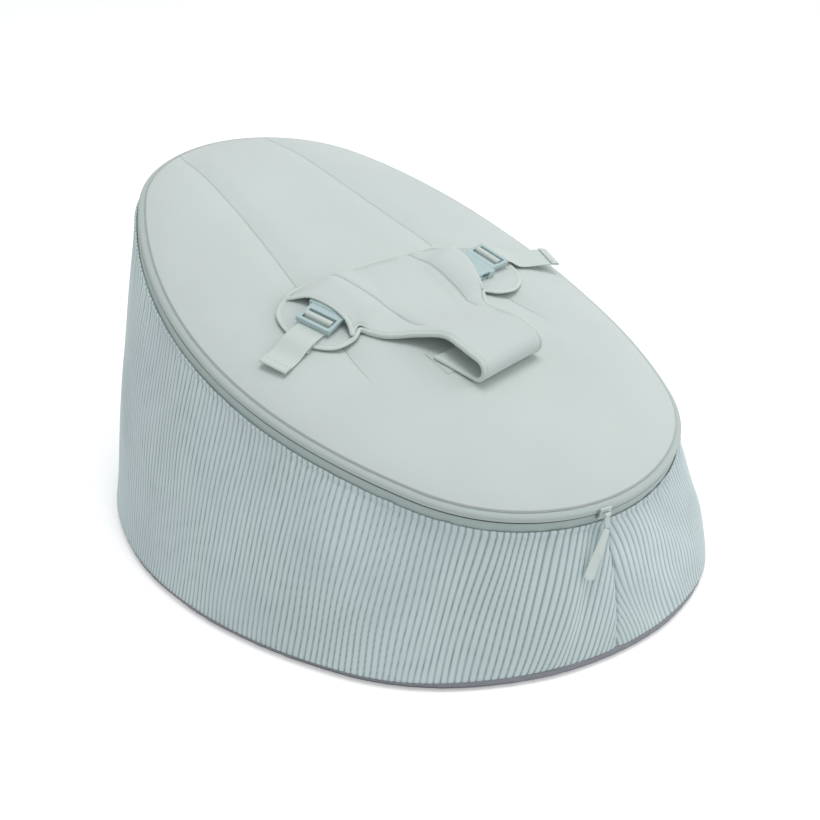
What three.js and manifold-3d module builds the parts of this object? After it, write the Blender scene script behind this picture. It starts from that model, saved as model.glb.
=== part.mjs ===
// A baby beanbag seat: a sloped, bead-filled body with a corduroy wall and a grey base,
// a crowned seat cover that zips on round its rim, and a T-shaped harness with two buckles.
// Millimetres, +Z up. The front, where the zip closes, faces -Y, and the high back faces +Y.
// The origin is on the floor, in the middle of the base.

import * as THREE from "three";
import { mergeVertices } from "three/addons/utils/BufferGeometryUtils.js";
import Module from "manifold-3d";

const wasm = await Module();
wasm.setup();

const degrees = Math.PI / 180;
const V2 = (x, y) => new THREE.Vector2(x, y);
const V3 = (x, y, z) => new THREE.Vector3(x, y, z);

// Fits shared by all pieces
const gap = 0.4; // between pieces that are sewn, laid or clipped together
const overrun = 2; // how far a cutter passes the face that it cuts

// Base: the footprint is an egg of arcs, widest a little to the front of its middle
const baseLength = 700;
const baseHalfWidth = 279;
const baseWidestY = -10;
const baseFrontRadiusShare = 1.0394; // the arcs' radii are shares of the half width
const baseFrontShoulderShare = 0.7814;
const baseBackRadiusShare = 0.8387;
const baseBackShoulderShare = 0.6882;
const basePanelThickness = 2.6;
const baseTurnUp = 9; // height of the grey edge
const baseTurnIn = 10; // how far the edge curls in to the floor

// Rim: the zip line, an egg of arcs in a plane that slopes down to the front. It follows the
// base, and lies inside it by a setback at the front, the back and the sides.
const rimFrontSetback = 23.2;
const rimBackSetback = 32.5;
const rimSideSetback = 54;
const rimFrontRadiusShare = 0.9556;
const rimFrontShoulderShare = 0.7111;
const rimBackRadiusShare = 0.8178;
const rimBackShoulderShare = 0.7022;
const rimHeight = 241;
const rimCentreY = -9;
const rimSlope = 16.8 * degrees;
const rimSag = 13.7; // how far the rim dips at its sides

// Wall
const wallBulge = 4;
const panelThickness = 1.9;
const hemDepth = 6;
const seamTurn = -5 * degrees; // where the front seam stands on the rim

// Zip
const tapeHeight = 9.6;
const tapeThickness = 0.9;
const tapeTuck = 5.5; // tape hidden behind the side panels
const tapeGap = 1.2;
const coilRadius = 1;
const coilPitchHeight = 1.7;
const stopLength = 2.4;
const stopHeight = 3.4;
const stopThickness = 1;
const sliderLength = 13;
const sliderHeight = 12;
const sliderPlate = 1.7;
const sliderWeb = 0.6;
const sliderClearance = 0.5;
const crownWidth = 3;
const crownThickness = 1.2;
const eyeBore = 1.1;
const eyeWall = 1.1;
const pullLinkLength = 12;
const pullLinkWidth = 6;
const pullLinkThickness = 1.2;
const pullTabLength = 50;
const pullTabTopWidth = 6;
const pullTabEndWidth = 11;
const pullTabThickness = 2.2;
const pullTabLean = 33 * degrees;
const pullLeanIn = 2 * degrees; // by which the hanging pull leans in to the wall below it

// Seat cover
const coverThickness = 2.5;
const seatCrown = 35.6;
const waddingThickness = 6;
const waddingInset = 8;
const dartBackHalfWidth = 58;
const dartFrontHalfWidth = 121;
const dartBackMargin = 23; // from the darts' back ends to the rim's back end
const dartFrontY = -117;
const dartBow = 5;
const dartGrooveWidth = 3;
const dartGrooveDepth = 1.2;

// Filling
const linerThickness = 1;
const linerShoulderDrop = 18;
const linerShoulderInset = 12;
const fillOpeningLength = 220;
const fillOpeningWidth = 34;

// Harness
const harnessHalfSpan = 147;
const harnessDepth = 160;
const harnessLayer = 1.2;
const harnessPaddingThickness = 2;
const bindingRadius = 1.9;
const padRise = 1.9; // room under the wing pads for the load straps
const stemRise = 21; // how far the stem stands off the seat at the curl
const stemRiseStartY = -42;
const stemEndY = -117;
const stemEndSkew = 0.11; // share of the width by which one corner lies ahead of the other
const stemLeftX = -28;
const stemRightX = 61;
const pocketEdgeRadius = 1.5; // of the bound edges from which the buckles emerge
const pocketStartX = 40; // where the upper panel starts to rise over a socket
const pocketFullX = 52;
const pocketFlatHalf = 27;
const pocketEndHalf = 31.5;
const pocketSpread = 10; // how much wider the rise is at the socket's inner end
const padStartX = 58; // where the wing pads start to rise over the load straps
const padFullX = 84;

// Crotch strap: sewn to the seat at its root, it curls up and back into the stem
const crotchThickness = 4;
const crotchRootY = -98;
const crotchRootLeftX = -40;
const curlY = -143;
const curlTop = 27; // height of the curl above the seat
const curlSkew = 0.16;
const patchThickness = 1;
const patchFrontY = -124;
const patchBackY = -88;
const patchLeftX = -46;
const patchRightX = 67;

// Webbing and buckles
const webbingWidth = 30;
const webbingThickness = 1.2;
const hemLength = 9;
const tailRest = 1.2; // how far the flat tail stays off the seat
const tailFall = 14; // length over which it comes down past the pad
const tailStep = 12;
const rollRise = 1.4; // of the webbing's roll above the clip's top
const strapSeamX = 101; // where the load straps leave the seat's long seams
const leftMouthX = -97;
const leftMouthY = -4;
const leftPadReach = 47.5; // from the socket's mouth to the pad's edge
const leftTailLength = 96;
const padSpread = 5.5; // how much further the pad's edge lies at one side of the webbing
const rightMouthX = 106;
const rightMouthY = 4;
const rightPadReach = 33.5;
const rightTailLength = 108;
const leftTurn = 201 * degrees;
const rightTurn = 11 * degrees;
const socketLength = 26;
const socketWidth = 46;
const socketInnerWidth = 40;
const socketHeight = 8.4;
const socketWall = 2;
const socketBack = 3;
const socketCavityWidth = 37;
const socketRound = 0.9;
const windowStart = 9; // from the mouth to the side window
const windowLength = 10;
const earLength = 7;
const earSlot = 3.5;
const earWeb = 1;
const tabReach = 40; // from the mouth to the inner end of the socket's webbing tab
const clipWidth = 38;
const clipBottom = 3.2;
const clipHeight = 4.8;
const clipRound = 0.7;
const ladderStart = 9; // from the mouth to the clip's first slot
const ladderSlot = 6.5;
const ladderBar = 4;
const slotWidth = 31;
const prongLength = 21;
const prongWidth = 3;
const prongSide = 2; // from the cavity's side to the prong
const prongHeight = 3.4;
const prongHeadStart = 10;
const prongHeadEnd = 18;
const prongHeadStep = 1.5;
const tongueWidth = 6;
const tongueLength = 15;

// Facets: one station every five degrees of turn round the rim
const stations = 72;
const stationTurn = (2 * Math.PI) / stations;
const endTurn = 30 * degrees; // half the turn of the rim's front arc, on which the slider runs

// Shapes from rings of points

function geometryOf(points, faces) {
  const geometry = new THREE.BufferGeometry();
  const flat = points.flatMap((point) => [point.x, point.y, point.z]);
  geometry.setAttribute("position", new THREE.Float32BufferAttribute(flat, 3));
  geometry.setIndex(faces.flat());
  geometry.computeVertexNormals();
  return geometry;
}

// Joins rings of equally many points. Each ring closes on itself, and the last ring joins the
// first one where looped is true; otherwise the two end rings are capped as ladders. A ring
// runs out along one face and back along the other one, and both faces are split alike, so
// that layers over the same places stay parallel.
function ringSolid(rings, looped) {
  const count = rings[0].length;
  const points = rings.flat();
  const faces = [];
  const spans = looped ? rings.length : rings.length - 1;
  for (let i = 0; i < spans; i++) {
    const here = i * count;
    const next = ((i + 1) % rings.length) * count;
    for (let j = 0; j < count; j++) {
      const k = (j + 1) % count;
      if (j < count / 2) {
        faces.push([here + j, next + j, next + k], [here + j, next + k, here + k]);
      } else {
        faces.push([here + j, next + j, here + k], [next + j, next + k, here + k]);
      }
    }
  }
  if (!looped) {
    const last = (rings.length - 1) * count;
    for (let j = 0; j < count / 2 - 1; j++) {
      const k = count - 1 - j;
      faces.push([j, j + 1, k - 1], [j, k - 1, k]);
      faces.push([last + j, last + k - 1, last + j + 1], [last + j, last + k, last + k - 1]);
    }
  }
  return facingOut(geometryOf(points, faces));
}

// A body closed at the top and the bottom by one point each, with rings between.
function domeSolid(top, rings, bottom) {
  const count = rings[0].length;
  const points = [top, ...rings.flat(), bottom];
  const faces = [];
  const end = points.length - 1;
  for (let j = 0; j < count; j++) {
    const k = (j + 1) % count;
    faces.push([0, 1 + j, 1 + k]);
    for (let i = 0; i < rings.length - 1; i++) {
      const here = 1 + i * count;
      const next = here + count;
      faces.push([here + j, next + j, next + k], [here + j, next + k, here + k]);
    }
    const last = 1 + (rings.length - 1) * count;
    faces.push([last + j, end, last + k]);
  }
  return facingOut(geometryOf(points, faces));
}

function facingOut(geometry) {
  const position = geometry.getAttribute("position");
  const index = geometry.index;
  const corner = [V3(), V3(), V3()];
  let volume = 0;
  for (let i = 0; i < index.count; i += 3) {
    corner.forEach((point, j) => point.fromBufferAttribute(position, index.getX(i + j)));
    volume += corner[0].dot(corner[1].clone().cross(corner[2]));
  }
  if (volume < 0) {
    for (let i = 0; i < index.count; i += 3) {
      const first = index.getX(i);
      index.setX(i, index.getX(i + 1));
      index.setX(i + 1, first);
    }
    geometry.computeVertexNormals();
  }
  return geometry;
}

// Joins and cuts
function solidOf(geometry) {
  const bare = geometry.clone();
  bare.deleteAttribute("normal");
  bare.deleteAttribute("uv");
  const merged = mergeVertices(bare, 1e-4);
  const mesh = new wasm.Mesh({
    numProp: 3,
    vertProperties: merged.getAttribute("position").array,
    triVerts: new Uint32Array(merged.index.array),
  });
  return new wasm.Manifold(mesh);
}

function geometryOfSolid(solid) {
  const mesh = solid.getMesh();
  const geometry = new THREE.BufferGeometry();
  geometry.setAttribute("position", new THREE.BufferAttribute(mesh.vertProperties, 3));
  geometry.setIndex(new THREE.BufferAttribute(mesh.triVerts, 1));
  geometry.computeVertexNormals();
  return geometry;
}

// A box between two corners
function boxOf(low, high) {
  const size = high.clone().sub(low);
  const middle = high.clone().add(low).multiplyScalar(0.5);
  const geometry = new THREE.BoxGeometry(size.x, size.y, size.z);
  geometry.translate(middle.x, middle.y, middle.z);
  return geometry;
}

const box = (low, high) => solidOf(boxOf(low, high));

// An egg whose four quarters are three tangent arcs each: an end arc, a shoulder and a side.
// A place on it is given by its turn, the angle of the outward normal from -Y towards +X.
class Egg {
  constructor(halfWidth, front, back) {
    this.front = Egg.quarter(halfWidth, front);
    this.back = Egg.quarter(halfWidth, back);
  }

  static quarter(halfWidth, { length, radius, shoulder }) {
    const step = V2(Math.sin(endTurn), Math.cos(endTurn)).multiplyScalar(radius - shoulder);
    const end = V2(0, length - radius);
    const corner = end.clone().add(step);
    const reach = halfWidth - corner.x - shoulder;
    const drop = (corner.y * corner.y + reach * reach) / (2 * reach);
    const sideTurn = Math.atan2(drop - reach, corner.y);
    const side = corner.clone().sub(V2(Math.sin(sideTurn), Math.cos(sideTurn)).multiplyScalar(drop));
    return { end, corner, side, radius, shoulder, sideRadius: drop + shoulder, sideTurn };
  }

  at(turn, offset = 0) {
    const angle = Math.atan2(Math.sin(turn), Math.cos(turn));
    const isFront = Math.abs(angle) <= Math.PI / 2;
    const quarter = isFront ? this.front : this.back;
    const fromEnd = isFront ? Math.abs(angle) : Math.PI - Math.abs(angle);
    let centre = quarter.side;
    let radius = quarter.sideRadius;
    if (fromEnd <= quarter.sideTurn) {
      centre = quarter.corner;
      radius = quarter.shoulder;
    }
    if (fromEnd <= endTurn) {
      centre = quarter.end;
      radius = quarter.radius;
    }
    const reach = radius + offset;
    const x = centre.x + reach * Math.sin(fromEnd);
    const y = centre.y + reach * Math.cos(fromEnd);
    return V2(angle < 0 ? -x : x, isFront ? -y : y);
  }
}

const arcs = (halfWidth, length, radiusShare, shoulderShare) => ({
  length,
  radius: halfWidth * radiusShare,
  shoulder: halfWidth * shoulderShare,
});

const rimHalfWidth = baseHalfWidth - rimSideSetback;
const rimFrontLength = (baseLength / 2 - rimFrontSetback + rimCentreY) / Math.cos(rimSlope);
const rimBackLength = (baseLength / 2 - rimBackSetback - rimCentreY) / Math.cos(rimSlope);
const rimFront = arcs(rimHalfWidth, rimFrontLength, rimFrontRadiusShare, rimFrontShoulderShare);
const rimBack = arcs(rimHalfWidth, rimBackLength, rimBackRadiusShare, rimBackShoulderShare);
const rim = new Egg(rimHalfWidth, rimFront, rimBack);

const baseFrontLength = baseLength / 2 + baseWidestY;
const baseBackLength = baseLength - baseFrontLength;
const footprint = new Egg(
  baseHalfWidth,
  arcs(baseHalfWidth, baseFrontLength, baseFrontRadiusShare, baseFrontShoulderShare),
  arcs(baseHalfWidth, baseBackLength, baseBackRadiusShare, baseBackShoulderShare),
);

// Cover frame: x to the side, y up the slope, z square to the rim's plane
const cover = new THREE.Group();
cover.position.set(0, rimCentreY, rimHeight);
cover.rotation.x = rimSlope;
cover.updateMatrixWorld(true);
const toPart = (point) => point.applyMatrix4(cover.matrixWorld);

// The rim's dip at its sides; the front arc stays flat, so the slider keeps its plane
const sagReach = rimFront.length - rimFront.radius * (1 - Math.cos(endTurn));
function dip(y) {
  const share = Math.min(Math.abs(y) / sagReach, 1);
  return rimSag * (1 - share * share) ** 2;
}

// A point near the rim, in the cover frame: offset outward, and a height from the zip line
function rimPoint(turn, offset, height) {
  const place = rim.at(turn, offset);
  return V3(place.x, place.y, height - dip(place.y));
}

// Seat surface: share is 0 in the middle and 1 on the rim
const bandTop = tapeGap / 2 + tapeHeight;
const edgeHeight = bandTop + gap + coverThickness;
function seatRise(share) {
  return edgeHeight + (seatCrown - edgeHeight) * (1 - share ** 2.2) ** 0.75;
}

function rimShare(x, y) {
  const angle = Math.atan2(x, -y);
  let low = -Math.PI;
  let high = Math.PI;
  for (let i = 0; i < 40; i++) {
    const middle = (low + high) / 2;
    const place = rim.at(middle);
    if (Math.atan2(place.x, -place.y) < angle) low = middle;
    else high = middle;
  }
  return Math.min(Math.hypot(x, y) / rim.at(low).length(), 1);
}

const seatHeight = (x, y) => seatRise(rimShare(x, y)) - dip(y);

function seatPoint(turn, share, drop, inset = 0) {
  const place = rim.at(turn, -inset).multiplyScalar(share);
  return V3(place.x, place.y, seatRise(share) - dip(place.y) - drop);
}

const turns = (first, count, step = 1) =>
  Array.from({ length: count }, (_, i) => (first + i * step) * stationTurn);
const everyTurn = turns(0, stations);
const everyOtherTurn = turns(0, stations / 2, 2);

// Wall surface in the part's frame: share is 0 below the hem and 1 at the base
const hemTop = tapeGap / 2 + tapeHeight - gap;
const panelOffset = gap + panelThickness;
function wallPoint(turn, share, inset) {
  const top = toPart(rimPoint(turn, panelOffset, -hemTop - hemDepth));
  const foot = footprint.at(turn);
  const bottom = V3(foot.x, foot.y + baseWidestY, baseTurnUp + gap);
  const out = V3(Math.sin(turn), -Math.cos(turn), 0);
  const bow = wallBulge * 4 * share * (1 - share) - inset;
  return top.lerp(bottom, share).addScaledVector(out, bow);
}

// Materials
const finish = (color, roughness, metalness = 0) =>
  new THREE.MeshStandardMaterial({ color, roughness, metalness });
const seatFabric = finish("#c9d3cf", 0.9);
const harnessFabric = finish("#ced8d2", 0.9);
const corduroy = finish("#b3c4c6", 0.95);
const baseFabric = finish("#919396", 0.95);
const tapeFabric = finish("#a9b8b6", 0.85);
const coilPlastic = finish("#7f8c8c", 0.5);
const sliderMetal = finish("#aebcbd", 0.4, 0.6);
const tabRubber = finish("#b9c9c6", 0.6);
const bucklePlastic = finish("#b6cbc9", 0.45);
const webbing = finish("#cdd7d2", 0.9);
const linerFabric = finish("#e4e6e4", 0.9);
const beads = finish("#f2f3f2", 0.8);

const part = new THREE.Group();
part.add(cover);

function addMesh(parent, name, geometry, material) {
  const mesh = new THREE.Mesh(geometry, material);
  mesh.name = name;
  parent.add(mesh);
  return mesh;
}

// Base panel: a shallow grey tray whose edge curls up to the wall
function baseRing(offset, height) {
  return everyTurn.map((turn) => {
    const place = footprint.at(turn, offset);
    return V3(place.x, place.y + baseWidestY, height);
  });
}

// Shares of the edge's turn-in and height, from its lip down to the floor
const baseEdgeShares = [
  [0, 1],
  [0.08, 0.52],
  [0.38, 0.18],
  [1, 0],
];

function makeBasePanel() {
  const outside = baseEdgeShares.map(([inShare, upShare]) =>
    baseRing(-baseTurnIn * inShare, baseTurnUp * upShare),
  );
  const insideCorner = baseRing(-baseTurnIn - basePanelThickness, basePanelThickness);
  const insideLip = baseRing(-basePanelThickness, baseTurnUp);
  const top = V3(0, baseWidestY, basePanelThickness);
  const bottom = V3(0, baseWidestY, 0);
  return domeSolid(top, [insideCorner, insideLip, ...outside], bottom);
}
addMesh(part, "base_panel", makeBasePanel(), baseFabric);

// Side panels: two corduroy halves, hemmed over the zip tape and seamed at front and back
const wallShares = [0.1, 0.28, 0.5, 0.72, 0.9, 1];

function panelSection(turn) {
  const column = (offset, inset) => [
    toPart(rimPoint(turn, offset, -hemTop)),
    toPart(rimPoint(turn, offset, -hemTop - hemDepth)),
    ...wallShares.map((share) => wallPoint(turn, share, inset)),
  ];
  return [...column(panelOffset, 0), ...column(gap, panelThickness).reverse()];
}

function makeSidePanel(fromTurn, toTurn) {
  const between = everyTurn
    .concat(everyTurn.map((turn) => turn - 2 * Math.PI))
    .filter((turn) => turn > fromTurn + stationTurn / 2 && turn < toTurn - stationTurn / 2)
    .sort((a, b) => a - b);
  const seamHalf = gap / 2 / rimFront.radius;
  const all = [fromTurn + seamHalf, ...between, toTurn - seamHalf];
  return ringSolid(all.map(panelSection), false);
}
addMesh(part, "side_panel_right", makeSidePanel(seamTurn, Math.PI), corduroy);
addMesh(part, "side_panel_left", makeSidePanel(-Math.PI, seamTurn), corduroy);

// Zip: two tapes square to the rim's plane, a thin gap apart, with their coils inside
function tapeRing(turn, low, high) {
  return [
    rimPoint(turn, 0, low),
    rimPoint(turn, 0, high),
    rimPoint(turn, -tapeThickness, high),
    rimPoint(turn, -tapeThickness, low),
  ];
}

const coilOffset = tapeThickness + gap + coilRadius;
const coilSides = 5;
function coilRing(turn, height) {
  return Array.from({ length: coilSides }, (_, i) => {
    const angle = (i * 2 * Math.PI) / coilSides;
    const offset = -coilOffset + coilRadius * Math.cos(angle);
    return rimPoint(turn, offset, height + coilRadius * Math.sin(angle));
  });
}

const visibleTape = tapeGap / 2 + tapeHeight;
const lowerTape = everyTurn.map((turn) => tapeRing(turn, -visibleTape - tapeTuck, -tapeGap / 2));
const upperTape = everyTurn.map((turn) => tapeRing(turn, tapeGap / 2, visibleTape));
const lowerCoil = everyTurn.map((turn) => coilRing(turn, -coilPitchHeight));
const upperCoil = everyTurn.map((turn) => coilRing(turn, coilPitchHeight));
addMesh(cover, "lower_zip_tape", ringSolid(lowerTape, true), tapeFabric);
addMesh(cover, "lower_zip_coil", ringSolid(lowerCoil, true), coilPlastic);
addMesh(cover, "upper_zip_tape", ringSolid(upperTape, true), tapeFabric);
addMesh(cover, "upper_zip_coil", ringSolid(upperCoil, true), coilPlastic);

// A group on the rim whose X runs along the zip and whose -Y points outward
function placeOnRim(turn) {
  const group = new THREE.Group();
  const place = rim.at(turn);
  group.position.set(place.x, place.y, 0);
  group.rotation.z = turn;
  cover.add(group);
  return group;
}

// Stops: one on each tape, just short of the slider
const stopTurn = seamTurn - (sliderLength / 2 + gap + stopLength / 2) / rimFront.radius;
const stopPlace = placeOnRim(stopTurn);
function makeStop(side) {
  const near = (side * tapeGap) / 2;
  const far = near + side * stopHeight;
  const low = V3(-stopLength / 2, -gap - stopThickness, Math.min(near, far));
  const high = V3(stopLength / 2, -gap, Math.max(near, far));
  return boxOf(low, high);
}
addMesh(stopPlace, "lower_zip_stop", makeStop(-1), sliderMetal);
addMesh(stopPlace, "upper_zip_stop", makeStop(1), sliderMetal);

// Slider: a plate on each side of the tapes, joined by a thin web that runs between them
const coilDepth = coilOffset + coilRadius;
const outerFace = sliderClearance + sliderPlate;
const barThickness = crownThickness;
const barDepth = outerFace + gap + eyeBore + eyeWall;
function makeSlider() {
  const half = V3(sliderLength / 2, 0, sliderHeight / 2);
  const plate = (nearY, farY) =>
    box(V3(-half.x, nearY, -half.z), V3(half.x, farY, half.z));
  const outer = plate(-outerFace, -sliderClearance);
  const inner = plate(coilDepth + sliderClearance, coilDepth + sliderClearance + sliderPlate);
  const web = box(
    V3(half.x - sliderPlate - crownWidth, -outerFace, -sliderWeb / 2),
    V3(half.x - sliderPlate, coilDepth + outerFace, sliderWeb / 2),
  );
  const postInside = pullLinkWidth / 2 + gap;
  const post = (side) =>
    box(
      V3(side > 0 ? postInside : -postInside - crownThickness, -barDepth - barThickness / 2, -barThickness),
      V3(side > 0 ? postInside + crownThickness : -postInside, -outerFace + sliderPlate / 2, barThickness),
    );
  const bar = box(
    V3(-postInside - crownThickness / 2, -barDepth - barThickness / 2, -barThickness / 2),
    V3(postInside + crownThickness / 2, -barDepth + barThickness / 2, barThickness / 2),
  );
  return geometryOfSolid(outer.add(inner).add(web).add(post(1)).add(post(-1)).add(bar));
}
const sliderPlace = placeOnRim(seamTurn);
addMesh(sliderPlace, "zip_slider", makeSlider(), sliderMetal);

// Pull: a link whose eye turns on the slider's bar, and a soft tab that leans to one side.
// It hangs along the wall below it.
const seamFall = wallPoint(seamTurn, 0, 0).sub(wallPoint(seamTurn, 1, 0));
const wallLean = Math.atan2(Math.hypot(seamFall.x, seamFall.y), seamFall.z);
const pullPlace = new THREE.Group();
pullPlace.position.set(0, -barDepth, 0);
pullPlace.rotation.x = pullLeanIn - rimSlope - wallLean;
sliderPlace.add(pullPlace);

function makePullLink() {
  const eyeRadius = eyeBore + eyeWall;
  const eye = new THREE.CylinderGeometry(eyeRadius, eyeRadius, pullLinkWidth, 12);
  const bore = new THREE.CylinderGeometry(eyeBore, eyeBore, pullLinkWidth + overrun, 12);
  eye.rotateZ(Math.PI / 2);
  bore.rotateZ(Math.PI / 2);
  const leg = box(
    V3(-pullLinkWidth / 2, -pullLinkThickness / 2, -pullLinkLength),
    V3(pullLinkWidth / 2, pullLinkThickness / 2, -eyeBore - eyeWall / 2),
  );
  return geometryOfSolid(solidOf(eye).add(leg).subtract(solidOf(bore)));
}
addMesh(pullPlace, "pull_link", makePullLink(), sliderMetal);

function makePullTab() {
  const top = pullTabTopWidth / 2;
  const end = pullTabEndWidth / 2;
  const outline = new THREE.Shape();
  outline.moveTo(-top, 0);
  outline.lineTo(top, 0);
  outline.lineTo(end, end - pullTabLength);
  outline.absarc(0, end - pullTabLength, end, 0, -Math.PI, true);
  outline.closePath();
  const tab = new THREE.ExtrudeGeometry(outline, {
    depth: pullTabThickness,
    bevelEnabled: false,
    curveSegments: 8,
  });
  tab.translate(0, 0, -pullTabThickness / 2);
  tab.rotateX(Math.PI / 2);
  tab.rotateY(pullTabLean);
  tab.translate(0, 0, -pullLinkLength - top * Math.sin(pullTabLean) - gap);
  return tab;
}
addMesh(pullPlace, "pull_tab", makePullTab(), tabRubber);

// Seat panel: a crowned cushion top with two long sewn darts that draw in to the back
const seatShares = [0.3, 0.55, 0.75, 0.88, 0.96, 1];
const ringAt = (where, share, drop, inset) =>
  where.map((turn) => seatPoint(turn, share, drop, inset));

const dartBackY = rimBackLength - dartBackMargin;
function dartPlace(side, share) {
  const y = dartBackY + (dartFrontY - dartBackY) * share;
  const straight = dartBackHalfWidth + (dartFrontHalfWidth - dartBackHalfWidth) * share;
  return V2(side * (straight - dartBow * 4 * share * (1 - share)), y);
}

function makeDartCutter(side) {
  const steps = 16;
  const rings = Array.from({ length: steps + 1 }, (_, i) => {
    const place = dartPlace(side, i / steps);
    const top = seatHeight(place.x, place.y);
    const depth = dartGrooveDepth * Math.min(1, (steps - i) / 2 + overrun / dartGrooveWidth / 2);
    const half = dartGrooveWidth / 2;
    return [
      V3(place.x, place.y, top - depth),
      V3(place.x + half, place.y, top + gap),
      V3(place.x + half, place.y, top + overrun),
      V3(place.x - half, place.y, top + overrun),
      V3(place.x - half, place.y, top + gap),
      V3(place.x, place.y, top - depth - gap / 2),
    ];
  });
  return solidOf(ringSolid(rings, false));
}

function makeSeatPanel() {
  const top = seatShares.map((share) => ringAt(everyTurn, share, 0));
  const under = seatShares.map((share) => ringAt(everyTurn, share, coverThickness)).reverse();
  const middle = seatRise(0) - dip(0);
  const shell = domeSolid(V3(0, 0, middle), [...top, ...under], V3(0, 0, middle - coverThickness));
  return geometryOfSolid(solidOf(shell).subtract(makeDartCutter(-1)).subtract(makeDartCutter(1)));
}
addMesh(cover, "seat_panel", makeSeatPanel(), seatFabric);

// Wadding under the seat panel
const waddingDrop = coverThickness + gap;
function makeWadding() {
  const top = seatShares.map((share) => ringAt(everyOtherTurn, share, waddingDrop, waddingInset));
  const lowDrop = waddingDrop + waddingThickness;
  const under = seatShares.map((share) => ringAt(everyOtherTurn, share, lowDrop, waddingInset));
  const middle = seatRise(0) - dip(0);
  const lowPoint = V3(0, 0, middle - lowDrop);
  return domeSolid(V3(0, 0, middle - waddingDrop), [...top, ...under.reverse()], lowPoint);
}
addMesh(cover, "seat_wadding", makeWadding(), beads);

// Inner bag and its beads: the same form, drawn in by an inset
const linerDrop = waddingDrop + waddingThickness + gap;
const linerWallShares = [0.25, 0.6, 0.9];
function fillingSolid(inset) {
  const middle = seatRise(0) - dip(0) - linerDrop - inset;
  const dome = seatShares
    .slice(0, -1)
    .map((share) => ringAt(everyOtherTurn, share, linerDrop + inset, waddingInset + inset).map(toPart));
  const shoulder = everyOtherTurn.map((turn) =>
    toPart(rimPoint(turn, -linerShoulderInset - inset, -linerShoulderDrop)),
  );
  const wall = linerWallShares.map((share) =>
    everyOtherTurn.map((turn) => wallPoint(turn, share, panelThickness + gap + inset)),
  );
  const footInset = baseTurnIn + basePanelThickness + gap + inset;
  const footHeight = basePanelThickness + gap + inset;
  const foot = everyOtherTurn.map((turn) => {
    const place = footprint.at(turn, -footInset);
    return V3(place.x, place.y + baseWidestY, footHeight);
  });
  const rings = [...dome, shoulder, ...wall, foot];
  return solidOf(domeSolid(toPart(V3(0, 0, middle)), rings, V3(0, baseWidestY, footHeight)));
}

// The fill opening is a long slot in the bag's top, across the seat, and its closure fills it
function slotSolid(clearance) {
  const half = V3(fillOpeningLength / 2 - clearance, fillOpeningWidth / 2 - clearance, seatCrown);
  const slot = boxOf(half.clone().negate(), half);
  slot.applyMatrix4(cover.matrixWorld);
  return solidOf(slot);
}
const linerShell = fillingSolid(0).subtract(fillingSolid(linerThickness));
const linerBag = linerShell.subtract(slotSolid(0));
const linerClosure = linerShell.intersect(slotSolid(gap));
addMesh(part, "liner_bag", geometryOfSolid(linerBag), linerFabric);
addMesh(part, "liner_closure", geometryOfSolid(linerClosure), linerFabric);
const fill = fillingSolid(linerThickness + gap);
addMesh(part, "bead_fill", geometryOfSolid(fill), beads);

// Harness: columns of the T from the left wing pad to the right one. Each holds the shares
// [x, y] of the half span and the depth at the T's back edge, then those at its front edge.
const harnessShares = [
  [-1, 0.04, -1, -0.09],
  [-0.946, 0.15, -0.946, -0.21],
  [-0.8, 0.23, -0.815, -0.285],
  [-0.66, 0.256, -0.667, -0.275],
  [-0.53, 0.268, -0.565, -0.22],
  [-0.47, 0.273, -0.503, -0.288],
  [-0.408, 0.278, -0.449, -0.35],
  [-0.354, 0.281, -0.374, -0.405],
  [-0.286, 0.284, -0.299, -0.463],
  [-0.163, 0.287, -0.2, -0.6],
  [-0.068, 0.287, null, null],
  [0.109, 0.287, null, null],
  [0.272, 0.287, null, null],
  [0.354, 0.284, 0.41, -0.575],
  [0.422, 0.281, 0.422, -0.413],
  [0.503, 0.275, 0.476, -0.288],
  [0.578, 0.269, 0.551, -0.213],
  [0.667, 0.256, 0.66, -0.263],
  [0.803, 0.225, 0.803, -0.269],
  [0.932, 0.144, 0.932, -0.188],
  [0.986, 0.04, 0.986, -0.075],
];
const stemMiddleX = (stemLeftX + stemRightX) / 2;
const stemShares = [0, 0.5, 1];
const stemColumns = [10, 11, 12];
const harnessColumns = harnessShares.map(([backX, backY, frontX, frontY], i) => {
  const back = V2(backX * harnessHalfSpan, backY * harnessDepth);
  if (frontX !== null) return [back, V2(frontX * harnessHalfSpan, frontY * harnessDepth)];
  const share = stemShares[stemColumns.indexOf(i)];
  const x = THREE.MathUtils.lerp(stemLeftX, stemRightX, share);
  return [back, V2(x, stemEndY + stemEndSkew * (x - stemMiddleX))];
});
const harnessRows = 16;

// Heights of the harness's layers above the seat
const { smoothstep } = THREE.MathUtils;
function harnessLift(x, y) {
  const pad = padRise * smoothstep(Math.abs(x), padStartX, padFullX);
  const stem = stemRise * smoothstep(stemRiseStartY - y, 0, stemRiseStartY - stemEndY);
  return gap + pad + stem;
}

// A cloth of even thickness over a grid of places, whose underside is drop above the seat
function clothSolid(columns, rows, liftAt, thickness) {
  const rings = columns.map(([back, front]) => {
    const places = rows.map((share) => back.clone().lerp(front, share));
    const line = (rise) =>
      places.map(({ x, y }) => V3(x, y, seatHeight(x, y) + liftAt(x, y) + rise));
    return [...line(thickness), ...line(0).reverse()];
  });
  return ringSolid(rings, false);
}

const rowShares = Array.from({ length: harnessRows + 1 }, (_, i) => i / harnessRows);
const lowerPanel = clothSolid(harnessColumns, rowShares, harnessLift, harnessLayer);
addMesh(cover, "harness_lower_panel", lowerPanel, harnessFabric);

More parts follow.
